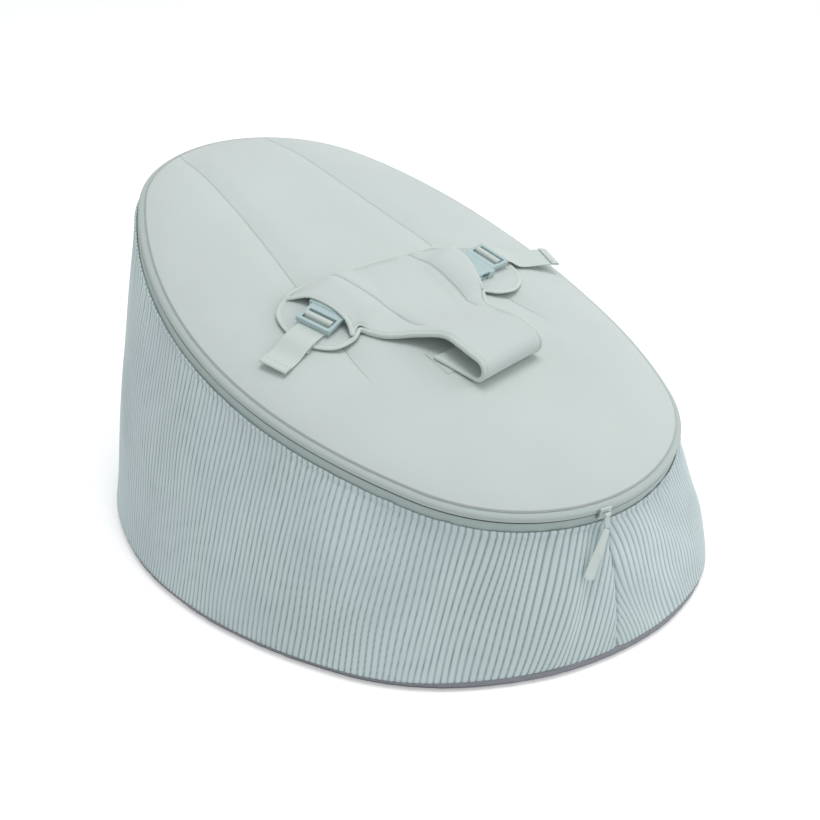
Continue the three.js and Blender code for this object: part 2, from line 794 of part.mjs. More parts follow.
const paddingLift = (x, y) => harnessLift(x, y) + harnessLayer + gap;
const paddingColumns = harnessColumns.slice(9, 14);
const paddingRows = rowShares.slice(1);
const padding = clothSolid(paddingColumns, paddingRows, paddingLift, harnessPaddingThickness);
addMesh(cover, "harness_padding", padding, beads);

// Buckles: a socket's own frame has its mouth at 0, X along the strap and Z off the seat,
// and lies along the seat's slope at the mouth
function makeBuckle(mouth, turn, padReach, tailLength) {
  const along = V2(Math.cos(turn), Math.sin(turn));
  const aside = V2(-along.y, along.x);
  const seatAt = (distance, side = 0) => {
    const { x, y } = mouth.clone().addScaledVector(along, distance).addScaledVector(aside, side);
    return V3(x, y, seatHeight(x, y));
  };
  const fall = seatAt(-socketLength).z - seatAt(socketLength).z;
  const rise = seatAt(0, webbingWidth).z - seatAt(0, -webbingWidth).z;
  const pitch = Math.atan2(fall, 2 * socketLength);
  const roll = Math.atan2(rise, 2 * webbingWidth);
  const place = new THREE.Group();
  place.position.set(mouth.x, mouth.y, seatAt(0).z + padTop + gap);
  place.rotation.set(roll, pitch, turn, "ZYX");
  cover.add(place);
  place.updateMatrix();
  const toPlace = place.matrix.clone().invert();
  const off = V3(0, 0, 1).transformDirection(place.matrix);
  const top = V3(0, 0, socketHeight + 2 * gap).applyMatrix4(place.matrix);
  const topAt = (x, y) => top.z - (off.x * (x - top.x) + off.y * (y - top.y)) / off.z;
  const onSeat = (distance, lift) => {
    const point = seatAt(distance).add(V3(0, 0, lift)).applyMatrix4(toPlace);
    return V2(point.x, point.z);
  };
  return { mouth, along, aside, place, onSeat, topAt, padReach, tailLength };
}

const padTop = gap + padRise + harnessLayer;
const buckles = {
  left: makeBuckle(V2(leftMouthX, leftMouthY), leftTurn, leftPadReach, leftTailLength),
  right: makeBuckle(V2(rightMouthX, rightMouthY), rightTurn, rightPadReach, rightTailLength),
};

// The upper panel rises over the sockets, which lie in a pocket at each wing
function upperLift(x, y) {
  const { mouth, aside, topAt } = x < 0 ? buckles.left : buckles.right;
  const off = Math.abs(V2(x, y).sub(mouth).dot(aside));
  const spread = pocketSpread * (1 - smoothstep(Math.abs(x), pocketFullX, Math.abs(mouth.x)));
  const across = 1 - smoothstep(off - spread, pocketFlatHalf, pocketEndHalf);
  const share = across * smoothstep(Math.abs(x), pocketStartX, pocketFullX);
  const flat = paddingLift(x, y) + harnessPaddingThickness + gap;
  return THREE.MathUtils.lerp(flat, topAt(x, y) - seatHeight(x, y), share);
}

// Shares of the half span and the depth at the wings' open ends
const pocketEdgeShares = {
  left: [-0.69, 0.235, -0.6, -0.2],
  right: [0.66, 0.235, 0.6, -0.2],
};
const pocketEdge = ([backX, backY, frontX, frontY]) => [
  V2(backX * harnessHalfSpan, backY * harnessDepth),
  V2(frontX * harnessHalfSpan, frontY * harnessDepth),
];
const leftEdge = pocketEdge(pocketEdgeShares.left);
const rightEdge = pocketEdge(pocketEdgeShares.right);
const upperColumns = [leftEdge, ...harnessColumns.slice(4, 17), rightEdge];
const upperPanel = clothSolid(upperColumns, rowShares, upperLift, harnessLayer);
addMesh(cover, "harness_upper_panel", upperPanel, harnessFabric);

// A round binding along the outside of places in a row, each with its height
function bindingSolid(places, heightAt, radius) {
  const sides = 6;
  const rings = places.map((place, i) => {
    const before = places[i - 1];
    const after = places[i + 1];
    const last = before && place.clone().sub(before).normalize();
    const next = after ? after.clone().sub(place).normalize() : last;
    const along = (last ?? next).clone().add(next).normalize();
    const out = V2(along.y, -along.x);
    const middle = place.clone().addScaledVector(out, (radius + gap) / along.dot(next));
    const height = heightAt(place.x, place.y);
    return Array.from({ length: sides }, (_, k) => {
      const angle = (k * 2 * Math.PI) / sides;
      const { x, y } = middle.clone().addScaledVector(out, radius * Math.cos(angle));
      return V3(x, y, height + radius * Math.sin(angle));
    });
  });
  return ringSolid(rings, false);
}

const fronts = harnessColumns.map(([, front]) => front);
const backs = harnessColumns.map(([back]) => back);
const outline = [
  ...fronts.slice(0, stemColumns[0] + 1).reverse(),
  ...backs,
  ...fronts.slice(stemColumns.at(-1)).reverse(),
].reverse();
const padBindingLift = webbingThickness + gap + bindingRadius - padRise;
function bindingHeight(x, y) {
  const share = smoothstep(Math.abs(x), padStartX, padFullX);
  const lift = THREE.MathUtils.lerp(bindingRadius, padBindingLift, share);
  return seatHeight(x, y) + harnessLift(x, y) + lift;
}
const binding = bindingSolid(outline, bindingHeight, bindingRadius);
addMesh(cover, "harness_binding", binding, harnessFabric);

// Bound edges of the upper panel, where the buckles emerge from the wings
const pocketPlaces = ([back, front]) => rowShares.map((share) => back.clone().lerp(front, share));
const pocketHeight = (x, y) => seatHeight(x, y) + upperLift(x, y) + pocketEdgeRadius;
function addPocketBinding(name, places) {
  const edge = bindingSolid(places, pocketHeight, pocketEdgeRadius);
  addMesh(cover, name, edge, harnessFabric);
}
addPocketBinding("pocket_binding_left", pocketPlaces(leftEdge));
addPocketBinding("pocket_binding_right", pocketPlaces(rightEdge).reverse());

// Points on both faces of a bent line of even thickness, with mitred corners
function bothFaces(line, thickness) {
  return line.map((point, i) => {
    const before = line[i - 1];
    const after = line[i + 1];
    const last = before && point.clone().sub(before).normalize();
    const next = after ? after.clone().sub(point).normalize() : last;
    const along = (last ?? next).clone().add(next).normalize();
    const reach = thickness / 2 / along.dot(next);
    const out = V2(-along.y, along.x).multiplyScalar(reach);
    return [point.clone().add(out), point.clone().sub(out)];
  });
}

// Crotch strap and its patch on the seat
const crotchLow = gap + patchThickness + gap + crotchThickness / 2;
const curlHigh = curlTop - crotchThickness / 2;
const curlRadius = (curlHigh - crotchLow) / 2;
const curlSteps = 8;
const stemEndLift = gap + stemRise + crotchThickness / 2;
const curlLine = Array.from({ length: curlSteps + 1 }, (_, i) => {
  const angle = (i / curlSteps) * Math.PI;
  const height = crotchLow + curlRadius * (1 - Math.cos(angle));
  return V2(curlY - curlRadius * Math.sin(angle), height);
});
const crotchLine = [
  V2(crotchRootY, crotchLow),
  V2((crotchRootY + curlY) / 2, crotchLow),
  ...curlLine,
  V2((stemEndY + curlY) / 2, (stemEndLift + curlHigh) / 2),
  V2(stemEndY - gap, stemEndLift),
];
const crotchColumnShares = [0, 0.25, 0.5, 0.75, 1];

function makeCrotchStrap() {
  const reach = crotchRootY - curlY;
  const last = crotchLine.length - 1;
  const rings = bothFaces(crotchLine, crotchThickness).map((faces, i) => {
    const curled = i < last / 2 ? Math.min((crotchRootY - crotchLine[i].x) / reach, 1) : 1;
    const joined = i > last - 2 ? (i - last + 2) / 2 : 0;
    const skew = THREE.MathUtils.lerp(curlSkew, stemEndSkew, joined);
    const leftX = THREE.MathUtils.lerp(crotchRootLeftX, stemLeftX, curled);
    const faceLine = (face) =>
      crotchColumnShares.map((share) => {
        const x = THREE.MathUtils.lerp(leftX, stemRightX, share);
        const y = face.x + skew * (x - stemMiddleX);
        return V3(x, y, seatHeight(x, y) + face.y);
      });
    return [...faceLine(faces[0]), ...faceLine(faces[1]).reverse()];
  });
  return ringSolid(rings, false);
}
addMesh(cover, "crotch_strap", makeCrotchStrap(), harnessFabric);

const patchColumns = crotchColumnShares.map((share) => {
  const x = THREE.MathUtils.lerp(patchLeftX, patchRightX, share);
  const ahead = stemEndSkew * (x - stemMiddleX);
  return [V2(x, patchBackY + ahead), V2(x, patchFrontY + ahead)];
});
const patch = clothSolid(patchColumns, crotchColumnShares, () => gap, patchThickness);
addMesh(cover, "crotch_patch", patch, seatFabric);

// A flat outline [x, y] made into a plate between two heights, with rounded edges
function plate(outline, low, high, round) {
  const geometry = new THREE.ExtrudeGeometry(new THREE.Shape(outline), {
    depth: high - low - 2 * round,
    bevelEnabled: round > 0,
    bevelThickness: round,
    bevelSize: round,
    bevelOffset: -round,
    bevelSegments: 2,
  });
  geometry.translate(0, 0, low + round);
  return solidOf(geometry);
}

const rectangle = (nearX, farX, halfWidth) => [
  V2(nearX, -halfWidth),
  V2(farX, -halfWidth),
  V2(farX, halfWidth),
  V2(nearX, halfWidth),
];

// A cutter for a webbing slot, right through a buckle
const slotAt = (start, length) =>
  box(
    V3(start, -slotWidth / 2, -overrun),
    V3(start + length, slotWidth / 2, socketHeight + overrun),
  );

// Socket: a tapered shell, open at its mouth, with a side window for each prong
const cavityTop = socketHeight - socketWall;
const earStart = -socketLength - earLength;
const earSlotEnd = -socketLength - earWeb;
function makeSocket() {
  const mouth = socketWidth / 2;
  const inner = socketInnerWidth / 2;
  const cavity = socketCavityWidth / 2;
  const outline = [
    V2(0, -mouth),
    V2(0, mouth),
    V2(-windowStart - windowLength, mouth - socketRound),
    V2(-socketLength, inner),
    V2(-socketLength, -inner),
    V2(-windowStart - windowLength, socketRound - mouth),
  ];
  const shell = plate(outline, 0, socketHeight, socketRound);
  const earOutline = rectangle(earStart, socketBack - socketLength, inner - socketRound);
  const ear = plate(earOutline, socketWall, cavityTop, 0);
  const slot = slotAt(earSlotEnd - earSlot, earSlot);
  const hollow = box(
    V3(socketBack - socketLength, -cavity, socketWall),
    V3(overrun, cavity, cavityTop),
  );
  const windows = box(
    V3(-windowStart - windowLength, -mouth - overrun, socketWall),
    V3(-windowStart, mouth + overrun, cavityTop),
  );
  const closed = shell.add(ear.subtract(slot));
  return geometryOfSolid(closed.subtract(hollow).subtract(windows));
}

// Clip: a ladder frame with two prongs and a middle tongue
const ladderPitch = ladderSlot + ladderBar;
const clipEnd = ladderStart + 2 * ladderPitch;
function makeClip() {
  const frameOutline = rectangle(gap, clipEnd, clipWidth / 2);
  const frame = plate(frameOutline, clipBottom, clipBottom + clipHeight, clipRound)
    .subtract(slotAt(ladderStart, ladderSlot))
    .subtract(slotAt(ladderStart + ladderPitch, ladderSlot));
  const prongOut = socketCavityWidth / 2 - prongSide;
  const prongIn = prongOut - prongWidth;
  const low = (socketHeight - prongHeight) / 2;
  const root = ladderStart / 2;
  const prong = (side) => {
    const corners = [
      V2(root, prongIn),
      V2(root, prongOut),
      V2(-prongHeadStart, prongOut),
      V2(-prongHeadStart, prongOut + prongHeadStep),
      V2(-prongHeadEnd, prongOut + prongHeadStep),
      V2(-prongLength, (prongIn + prongOut) / 2),
      V2(-prongLength, prongIn),
    ].map((corner) => V2(corner.x, side * corner.y));
    return plate(corners, low, low + prongHeight, 0);
  };
  const tongueOutline = rectangle(-tongueLength, root, tongueWidth / 2);
  const tongue = plate(tongueOutline, low, low + prongHeight, 0);
  return geometryOfSolid(frame.add(prong(1)).add(prong(-1)).add(tongue));
}

// A length of webbing whose middle line [x, z] is bent in a buckle's frame
const halfWeb = webbingThickness / 2;
const halfWidth = webbingWidth / 2;
function webbingSolid(line) {
  const rings = bothFaces(line, webbingThickness).map(([upper, lower]) => [
    V3(upper.x, -halfWidth, upper.y),
    V3(upper.x, halfWidth, upper.y),
    V3(lower.x, halfWidth, lower.y),
    V3(lower.x, -halfWidth, lower.y),
  ]);
  return ringSolid(rings, false);
}

// Socket tab: runs in under the ear's bar, up through its slot and back over it
const tabLeg = earStart + earLength - earWeb - earSlot + gap + halfWeb;
const tabLine = [
  V2(-tabReach, socketWall - gap - halfWeb),
  V2(tabLeg, socketWall - gap - halfWeb),
  V2(tabLeg, cavityTop + gap + halfWeb),
  V2(-tabReach, cavityTop + gap + halfWeb),
];

// Heights of the webbing's middle line: on the pad, over the pad's binding, and on the seat
const bindingTop = gap + padRise + padBindingLift + bindingRadius;
const bindingReach = gap + 2 * bindingRadius;
const loadOnPad = padTop + gap + halfWeb;
const loadOver = bindingTop + gap + halfWeb;
const tailOver = loadOver + webbingThickness + gap;
const tailLow = tailRest + halfWeb;

// Tail: up through the first slot, rolled over the middle bar, down and out below the end bar
const legIn = ladderStart + ladderSlot - gap - halfWeb;
const legOut = ladderStart + ladderPitch + gap + halfWeb;
const clipTop = clipBottom + clipHeight;
const underClip = clipBottom - gap - halfWeb;
const rollSteps = 6;
const roll = Array.from({ length: rollSteps + 1 }, (_, i) => {
  const angle = Math.PI * (1 - i / rollSteps);
  const half = (legOut - legIn) / 2;
  return V2(legIn + half * (1 + Math.cos(angle)), clipTop + rollRise * Math.sin(angle));
});

function makeTail({ onSeat, padReach, tailLength }) {
  const landing = padReach + padSpread + bindingReach + tailFall;
  const restSteps = Math.ceil((tailLength - landing) / tailStep);
  const rest = (from, to, count, lift) =>
    Array.from({ length: count + 1 }, (_, i) => onSeat(from + ((to - from) * i) / count, lift));
  const line = [
    V2(legIn, clipBottom),
    ...roll,
    V2(legOut, underClip),
    V2(clipEnd, underClip),
    onSeat(padReach - gap, tailOver),
    onSeat(padReach + padSpread + bindingReach + gap, tailOver),
    ...rest(landing, tailLength, restSteps, tailLow),
  ];
  const hem = rest(tailLength - hemLength, tailLength, 1, tailLow + webbingThickness);
  return geometryOfSolid(solidOf(webbingSolid(line)).add(solidOf(webbingSolid(hem))));
}

// Load strap: from the seat's long seam, out below the pad, round its end and back to the clip
function makeLoadStrap({ onSeat, padReach, mouth, along }) {
  const seamReach = (strapSeamX - Math.abs(mouth.x)) / Math.abs(along.x);
  const turnReach = padReach + padSpread + bindingReach + gap + halfWeb;
  const low = gap + halfWeb;
  const line = [
    onSeat(seamReach, low),
    onSeat((seamReach + padReach) / 2, low),
    onSeat(padReach, low),
    onSeat(turnReach, low + webbingThickness),
    onSeat(turnReach + webbingThickness, (low + loadOver) / 2),
    onSeat(turnReach, loadOver - webbingThickness),
    onSeat(turnReach - webbingThickness - gap, loadOver),
    onSeat(padReach + gap, loadOver),
    onSeat(Math.max(padReach - bindingReach, clipEnd), loadOnPad),
    V2(ladderStart + overrun, halfWeb),
  ];
  return webbingSolid(line);
}

for (const [side, buckle] of Object.entries(buckles)) {
  addMesh(buckle.place, `socket_${side}`, makeSocket(), bucklePlastic);
  addMesh(buckle.place, `socket_tab_${side}`, webbingSolid(tabLine), webbing);
  addMesh(buckle.place, `clip_${side}`, makeClip(), bucklePlastic);
  addMesh(buckle.place, `strap_tail_${side}`, makeTail(buckle), webbing);
  addMesh(buckle.place, `load_strap_${side}`, makeLoadStrap(buckle), webbing);
}

export default part;
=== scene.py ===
import math

import bpy
import numpy as np
from mathutils import Matrix, Vector


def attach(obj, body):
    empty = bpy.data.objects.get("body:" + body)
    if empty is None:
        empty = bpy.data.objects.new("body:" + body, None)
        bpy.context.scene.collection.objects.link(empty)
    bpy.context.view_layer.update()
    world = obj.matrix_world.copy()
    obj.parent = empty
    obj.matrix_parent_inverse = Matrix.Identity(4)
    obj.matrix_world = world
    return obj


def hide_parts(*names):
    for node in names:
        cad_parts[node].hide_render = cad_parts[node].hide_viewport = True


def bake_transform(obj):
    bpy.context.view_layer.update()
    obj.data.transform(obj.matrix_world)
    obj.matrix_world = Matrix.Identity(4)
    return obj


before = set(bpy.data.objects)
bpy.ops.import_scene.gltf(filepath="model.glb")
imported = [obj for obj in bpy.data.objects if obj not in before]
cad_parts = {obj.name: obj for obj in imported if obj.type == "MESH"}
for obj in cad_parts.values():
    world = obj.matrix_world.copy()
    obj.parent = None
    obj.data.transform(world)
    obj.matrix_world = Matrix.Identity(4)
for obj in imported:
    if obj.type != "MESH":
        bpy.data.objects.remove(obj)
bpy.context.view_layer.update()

# All lengths below are millimetres, as in the part's source; meshes are made in metres.
MM = 0.001
GAP = 0.4

BASE_LENGTH = 700
BASE_HALF_WIDTH = 279
BASE_WIDEST_Y = -10
BASE_FRONT = (BASE_LENGTH / 2 + BASE_WIDEST_Y, 290, 218)
BASE_BACK = (BASE_LENGTH / 2 - BASE_WIDEST_Y, 234, 192)
BASE_THICKNESS = 2.6
BASE_TURN_UP = 9
BASE_TURN_IN = 10

RIM_HALF_WIDTH = 225
RIM_FRONT = (332, 215, 160)
RIM_BACK = (341, 184, 158)
RIM_HEIGHT = 241
RIM_CENTRE_Y = -9
RIM_SLOPE = math.radians(16.8)
RIM_SAG = 13.7

WALL_BULGE = 4
PANEL_THICKNESS = 1.9
HEM_DEPTH = 6
WALE_PITCH = 6
WALE_DEPTH = 1.05
WALE_ROUNDNESS = 0.62
WALE_MIDDLE = 0.62
WALL_SEAM_TURN = math.radians(-3)
WALL_DROOP = 1.5

TAPE_HEIGHT = 9.6
TAPE_THICKNESS = 0.9
TAPE_TUCK = 5.5
TAPE_GAP = 1.2
COIL_OFFSET = 2.3
COIL_HEIGHT = 1.7

COVER_THICKNESS = 2.5
SEAT_CROWN = 35.6
WADDING_THICKNESS = 6
WADDING_INSET = 8
DART_BACK = (58, 318)
DART_FRONT = (121, -117)
DART_BOW = 5

HARNESS_HALF_SPAN = 147
HARNESS_DEPTH = 160
HARNESS_LAYER = 1.2
HARNESS_PADDING = 2
BINDING_RADIUS = 1.9
PAD_RISE = 1.9
STEM_RISE = 21
STEM_RISE_START_Y = -42
STEM_END_Y = -117
STEM_END_SKEW = 0.11
STEM_LEFT_X = -28
STEM_RIGHT_X = 53
PAD_START_X = 58
PAD_FULL_X = 84

CROTCH_THICKNESS = 4
CROTCH_ROOT_Y = -98
CROTCH_ROOT_LEFT_X = -40
CURL_Y = -143
CURL_TOP = 27
CURL_SKEW = 0.16
PATCH_THICKNESS = 1
PATCH = (-46, 67, -124, -88)

WEBBING_WIDTH = 30
WEBBING_THICKNESS = 1.2
HEM_LENGTH = 9
SOCKET_LENGTH = 26
SOCKET_HEIGHT = 8.4
SOCKET_WALL = 2
SOCKET_BAR_REACH = 4.5
CLIP_BOTTOM = 3.2
CLIP_HEIGHT = 4.8
LADDER_START = 9
LADDER_SLOT = 6.5
LADDER_BAR = 4

END_TURN = math.radians(30)
HEM_TOP = TAPE_GAP / 2 + TAPE_HEIGHT - GAP
PANEL_OFFSET = GAP + PANEL_THICKNESS
BAND_TOP = TAPE_GAP / 2 + TAPE_HEIGHT
EDGE_HEIGHT = BAND_TOP + GAP + COVER_THICKNESS


# Numbers and fields


def lerp(a, b, share):
    return a + (b - a) * share


def smoothstep(value, start, end):
    share = np.clip((np.asarray(value, float) - start) / (end - start), 0, 1)
    return share * share * (3 - 2 * share)


def bell(distance, width):
    return np.exp(-((distance / width) ** 2))


def unit(vectors):
    return vectors / np.maximum(np.linalg.norm(vectors, axis=-1, keepdims=True), 1e-9)


def tangents_of(line):
    return unit(np.gradient(line, axis=0))


def square_to(ways):
    """A quarter turn to the left of each direction [x, y]."""
    return np.stack([-ways[:, 1], ways[:, 0]], -1)


def field(places, size, seed):
    """A smooth random field, mostly between -1 and 1, whose bumps are about size across."""
    places = np.asarray(places, float) / np.asarray(size, float)
    rng = np.random.default_rng(seed)
    count = 16
    total = np.zeros(places.shape[:-1])
    for _ in range(count):
        direction = rng.normal(size=places.shape[-1])
        direction *= math.pi * rng.uniform(0.6, 1.5) / np.linalg.norm(direction)
        total += np.sin(places @ direction + rng.uniform(0, 2 * math.pi))
    return total / math.sqrt(count)


def lumps(places, seed, *waves):
    """A sum of random fields. Each wave is a size and a strength, and takes the next seed."""
    seeded = enumerate(waves, seed)
    return sum(field(places, size, number) * strength for number, (size, strength) in seeded)


def sewn(distance, *grooves):
    """How deep a sewn line is sunk, or how high it stands, at a distance from it. Each groove is
    a depth and a width."""
    return sum(depth * bell(distance, width) for depth, width in grooves)


def even(line, step):
    """The positions, as shares of the points' numbers, at even steps of length along a line."""
    reach = np.concatenate([[0], np.cumsum(np.linalg.norm(np.diff(line, axis=0), axis=1))])
    count = max(int(round(reach[-1] / step)), 2)
    wanted = np.linspace(0, reach[-1], count + 1)
    return np.interp(wanted, reach, np.arange(len(line)))


def sample(line, positions):
    line = np.asarray(line, float)
    numbers = np.arange(len(line))
    return np.stack([np.interp(positions, numbers, line[:, k]) for k in range(line.shape[1])], 1)


def spline(points, per_span):
    """A smooth line through the points."""
    points = np.asarray(points, float)
    every = np.concatenate([2 * points[:1] - points[1:2], points, 2 * points[-1:] - points[-2:-1]])
    before, here, there, after = (every[k : len(every) - 3 + k, None] for k in range(4))
    share = (np.arange(per_span) / per_span)[:, None]
    bend = (2 * before - 5 * here + 4 * there - after) * share**2
    twist = (3 * here - before - 3 * there + after) * share**3
    made = 0.5 * (2 * here + (there - before) * share + bend + twist)
    return np.concatenate([made.reshape(-1, points.shape[1]), points[-1:]])


def rounded(line, times=2):
    """The line with its corners cut off, some times over."""
    line = np.asarray(line, float)
    for _ in range(times):
        near = line[:-1] * 0.75 + line[1:] * 0.25
        far = line[:-1] * 0.25 + line[1:] * 0.75
        between = np.stack([near, far], 1).reshape(-1, line.shape[1])
        line = np.concatenate([line[:1], between, line[-1:]])
    return line


# Forms shared with the part's source


class Egg:
    """An egg whose four quarters are three tangent arcs each, in the order of turn."""

    def __init__(self, half_width, front, back):
        self.quarters = [self.quarter(half_width, *front), self.quarter(half_width, *back)]

    @staticmethod
    def quarter(half_width, length, radius, shoulder):
        corner_x = math.sin(END_TURN) * (radius - shoulder)
        corner_y = length - radius + math.cos(END_TURN) * (radius - shoulder)
        reach = half_width - corner_x - shoulder
        drop = (corner_y**2 + reach**2) / (2 * reach)
        side_turn = math.atan2(drop - reach, corner_y)
        side = (corner_x - math.sin(side_turn) * drop, corner_y - math.cos(side_turn) * drop)
        return {"end": (0, length - radius, radius), "corner": (corner_x, corner_y, shoulder),
            "side": (*side, drop + shoulder), "side_turn": side_turn}

    def at(self, turn, offset=0.0):
        turn = np.asarray(turn, float)
        angle = np.arctan2(np.sin(turn), np.cos(turn))
        is_front = np.abs(angle) <= math.pi / 2
        from_end = np.where(is_front, np.abs(angle), math.pi - np.abs(angle))
        halves = []
        for quarter in self.quarters:
            arc = np.where(from_end <= END_TURN, 0, np.where(from_end <= quarter["side_turn"], 1, 2))
            x, y, radius = np.array([quarter["end"], quarter["corner"], quarter["side"]]).T[:, arc]
            reach = radius + offset
            halves.append((x + reach * np.sin(from_end), y + reach * np.cos(from_end)))
        (front_x, front_y), (back_x, back_y) = halves
        x = np.where(is_front, front_x, back_x)
        return np.where(angle < 0, -x, x), np.where(is_front, -front_y, back_y)


rim = Egg(RIM_HALF_WIDTH, RIM_FRONT, RIM_BACK)
footprint = Egg(BASE_HALF_WIDTH, BASE_FRONT, BASE_BACK)


def ring(egg, turns, offset, height, y_shift=0.0):
    x, y = egg.at(turns, offset)
    return np.stack([x, y + y_shift, height + np.zeros_like(x)], -1)


def even_turns(egg, step):
    dense = np.linspace(-math.pi, math.pi, 4001)
    positions = even(ring(egg, dense, 0, 0), step)
    return np.interp(positions, np.arange(len(dense)), dense)[:-1]


def to_part(points):
    """From the cover's frame, which lies in the sloping plane of the zip, to the part's."""
    points = np.asarray(points, float)
    x, y, z = points[..., 0], points[..., 1], points[..., 2]
    c, s = math.cos(RIM_SLOPE), math.sin(RIM_SLOPE)
    return np.stack([x, RIM_CENTRE_Y + y * c - z * s, RIM_HEIGHT + y * s + z * c], -1)


SAG_REACH = RIM_FRONT[0] - RIM_FRONT[1] * (1 - math.cos(END_TURN))


def dip(y):
    """How far the rim sags below its plane."""
    share = np.minimum(np.abs(y) / SAG_REACH, 1)
    return RIM_SAG * (1 - share**2) ** 2


def rim_point(turn, offset, height):
    x, y = rim.at(turn, offset)
    return np.stack([x, y, height - dip(y) + np.zeros_like(x)], -1)


rim_turns = np.linspace(-math.pi, math.pi, 8001)
rim_x, rim_y = rim.at(rim_turns)
rim_angles = np.unwrap(np.arctan2(rim_x, -rim_y))
rim_reach = np.hypot(rim_x, rim_y)


def rim_share(x, y):
    reach = np.interp(np.arctan2(x, -np.asarray(y)), rim_angles, rim_reach)
    return np.minimum(np.hypot(x, y) / reach, 1)


def seat_rise(share):
    return EDGE_HEIGHT + (SEAT_CROWN - EDGE_HEIGHT) * (1 - share**2.2) ** 0.75


def seat_height(x, y):
    return seat_rise(rim_share(x, y)) - dip(y)


SEAM_INSET = 6.6
SEAT_EDGE_HEIGHT = 8.4
EDGE_FALL = 7.6
EDGE_FALL_SHARE = 0.1


def cover_rise(share):
    """The seat panel's rise, falling to its seam with the upper tape near the rim."""
    return seat_rise(share) - EDGE_FALL * np.exp((share - 0.97) / EDGE_FALL_SHARE)


def on_seat(places, lift):
    """Points of the part's frame over places [x, y] of the seat, at a lift above it."""
    x, y = places[..., 0], places[..., 1]
    return to_part(np.stack([x, y, seat_height(x, y) + lift], -1))


def seat_line(places, lift):
    """Points over the seat at a lift above it, and the way off the seat at each."""
    points = on_seat(places, lift)
    return points, on_seat(places, lift + 1) - points


def outward_of(turn):
    """The level direction out of the part, at a turn round it."""
    return np.stack([np.sin(turn), -np.cos(turn), 0 * turn], -1)


def wall_point(turn, share, inset=0.0):
    """The wall's face, from its hem (share 0) to the base (share 1)."""
    top = to_part(rim_point(turn, PANEL_OFFSET, -HEM_TOP - HEM_DEPTH))
    bottom = ring(footprint, turn, 0, BASE_TURN_UP + GAP, BASE_WIDEST_Y)
    bow = WALL_BULGE * 4 * share * (1 - share) - inset
    return lerp(top, bottom, np.asarray(share)[..., None]) + outward_of(turn) * np.asarray(bow)[..., None]


# Meshes


def link(obj):
    bpy.context.scene.collection.objects.link(obj)
    return obj


def configured(made, **settings):
    for key, value in settings.items():
        setattr(made, key, value)
    return made


def wrapped(points):
    """The grid with its first column once more at the end."""
    return np.concatenate([points, points[:, :1]], 1)


def lengths(points, axis):
    """Mean distance from the first row or column, for cloth coordinates."""
    steps = np.linalg.norm(np.diff(points, axis=axis), axis=-1)
    return np.concatenate([[0], np.cumsum(steps.mean(axis=1 - axis))])


def cloth_of(points):
    return np.stack(np.meshgrid(lengths(points, 1), lengths(points, 0)), -1)


def vertices_of(mesh):
    flat = np.empty(len(mesh.vertices) * 3)
    mesh.vertices.foreach_get("co", flat)
    return flat.reshape(-1, 3)


def add_mesh(name, points, faces):
    """A smooth mesh of points in mm."""
    mesh = bpy.data.meshes.new(name)
    mesh.from_pydata((np.asarray(points) * MM).tolist(), [], np.asarray(faces).tolist())
    mesh.polygons.foreach_set("use_smooth", np.ones(len(faces), bool))
    return link(bpy.data.objects.new(name, mesh))


def turn_out(mesh):
    """Turns a closed mesh's faces outward, by the sign of its volume."""
    mesh.calc_loop_triangles()
    corners = np.empty(len(mesh.loop_triangles) * 3, int)
    mesh.loop_triangles.foreach_get("vertices", corners)
    a, b, c = (vertices_of(mesh)[corners.reshape(-1, 3)[:, k]] for k in range(3))
    if np.sum(a * np.cross(b, c)) < 0:
        mesh.flip_normals()


def add_grid(name, points, closed=False, cloth=None, values=None, inside=None):
    """A smooth mesh over rows and columns of points in mm, with cloth coordinates in mm of cloth.
    Closed joins the last column to the first one. Faces are turned away from inside, or out of
    a closed body that has none."""
    rows, cols = points.shape[:2]
    if cloth is None:
        cloth = cloth_of(wrapped(points) if closed else points)
    spans = cols if closed else cols - 1
    row, col = np.meshgrid(np.arange(rows - 1), np.arange(spans), indexing="ij")

    def corners(width, following):
        above, below = row * width, (row + 1) * width
        square = [above + col, above + following, below + following, below + col]
        return np.stack(square, -1).reshape(-1, 4)

    faces = corners(cols, (col + 1) % cols)
    texels = corners(cloth.shape[1], col + 1)
    flat = points.reshape(-1, 3)
    if inside is not None:
        a, b, c, d = (flat[faces[:, k]] for k in range(4))
        if np.sum(np.cross(c - a, d - b) * ((a + c) / 2 - inside)) < 0:
            faces, texels = faces[:, ::-1], texels[:, ::-1]
    obj = add_mesh(name, flat, faces)
    layer = obj.data.uv_layers.new(name="cloth")
    layer.data.foreach_set("uv", (cloth.reshape(-1, 2)[texels.ravel()] * MM).ravel())
    for key, value in (values or {}).items():
        attribute = obj.data.attributes.new(key, "FLOAT", "POINT")
        attribute.data.foreach_set("value", np.asarray(value, np.float32).ravel())
    if closed and inside is None:
        turn_out(obj.data)
    return obj


def normals_of(points, outward):
    """Unit normals of a grid of points, on the side of the outward directions."""
    made = unit(np.cross(np.gradient(points, axis=0), np.gradient(points, axis=1)))
    return np.where(np.sum(made * outward, -1, keepdims=True) < 0, -made, made)


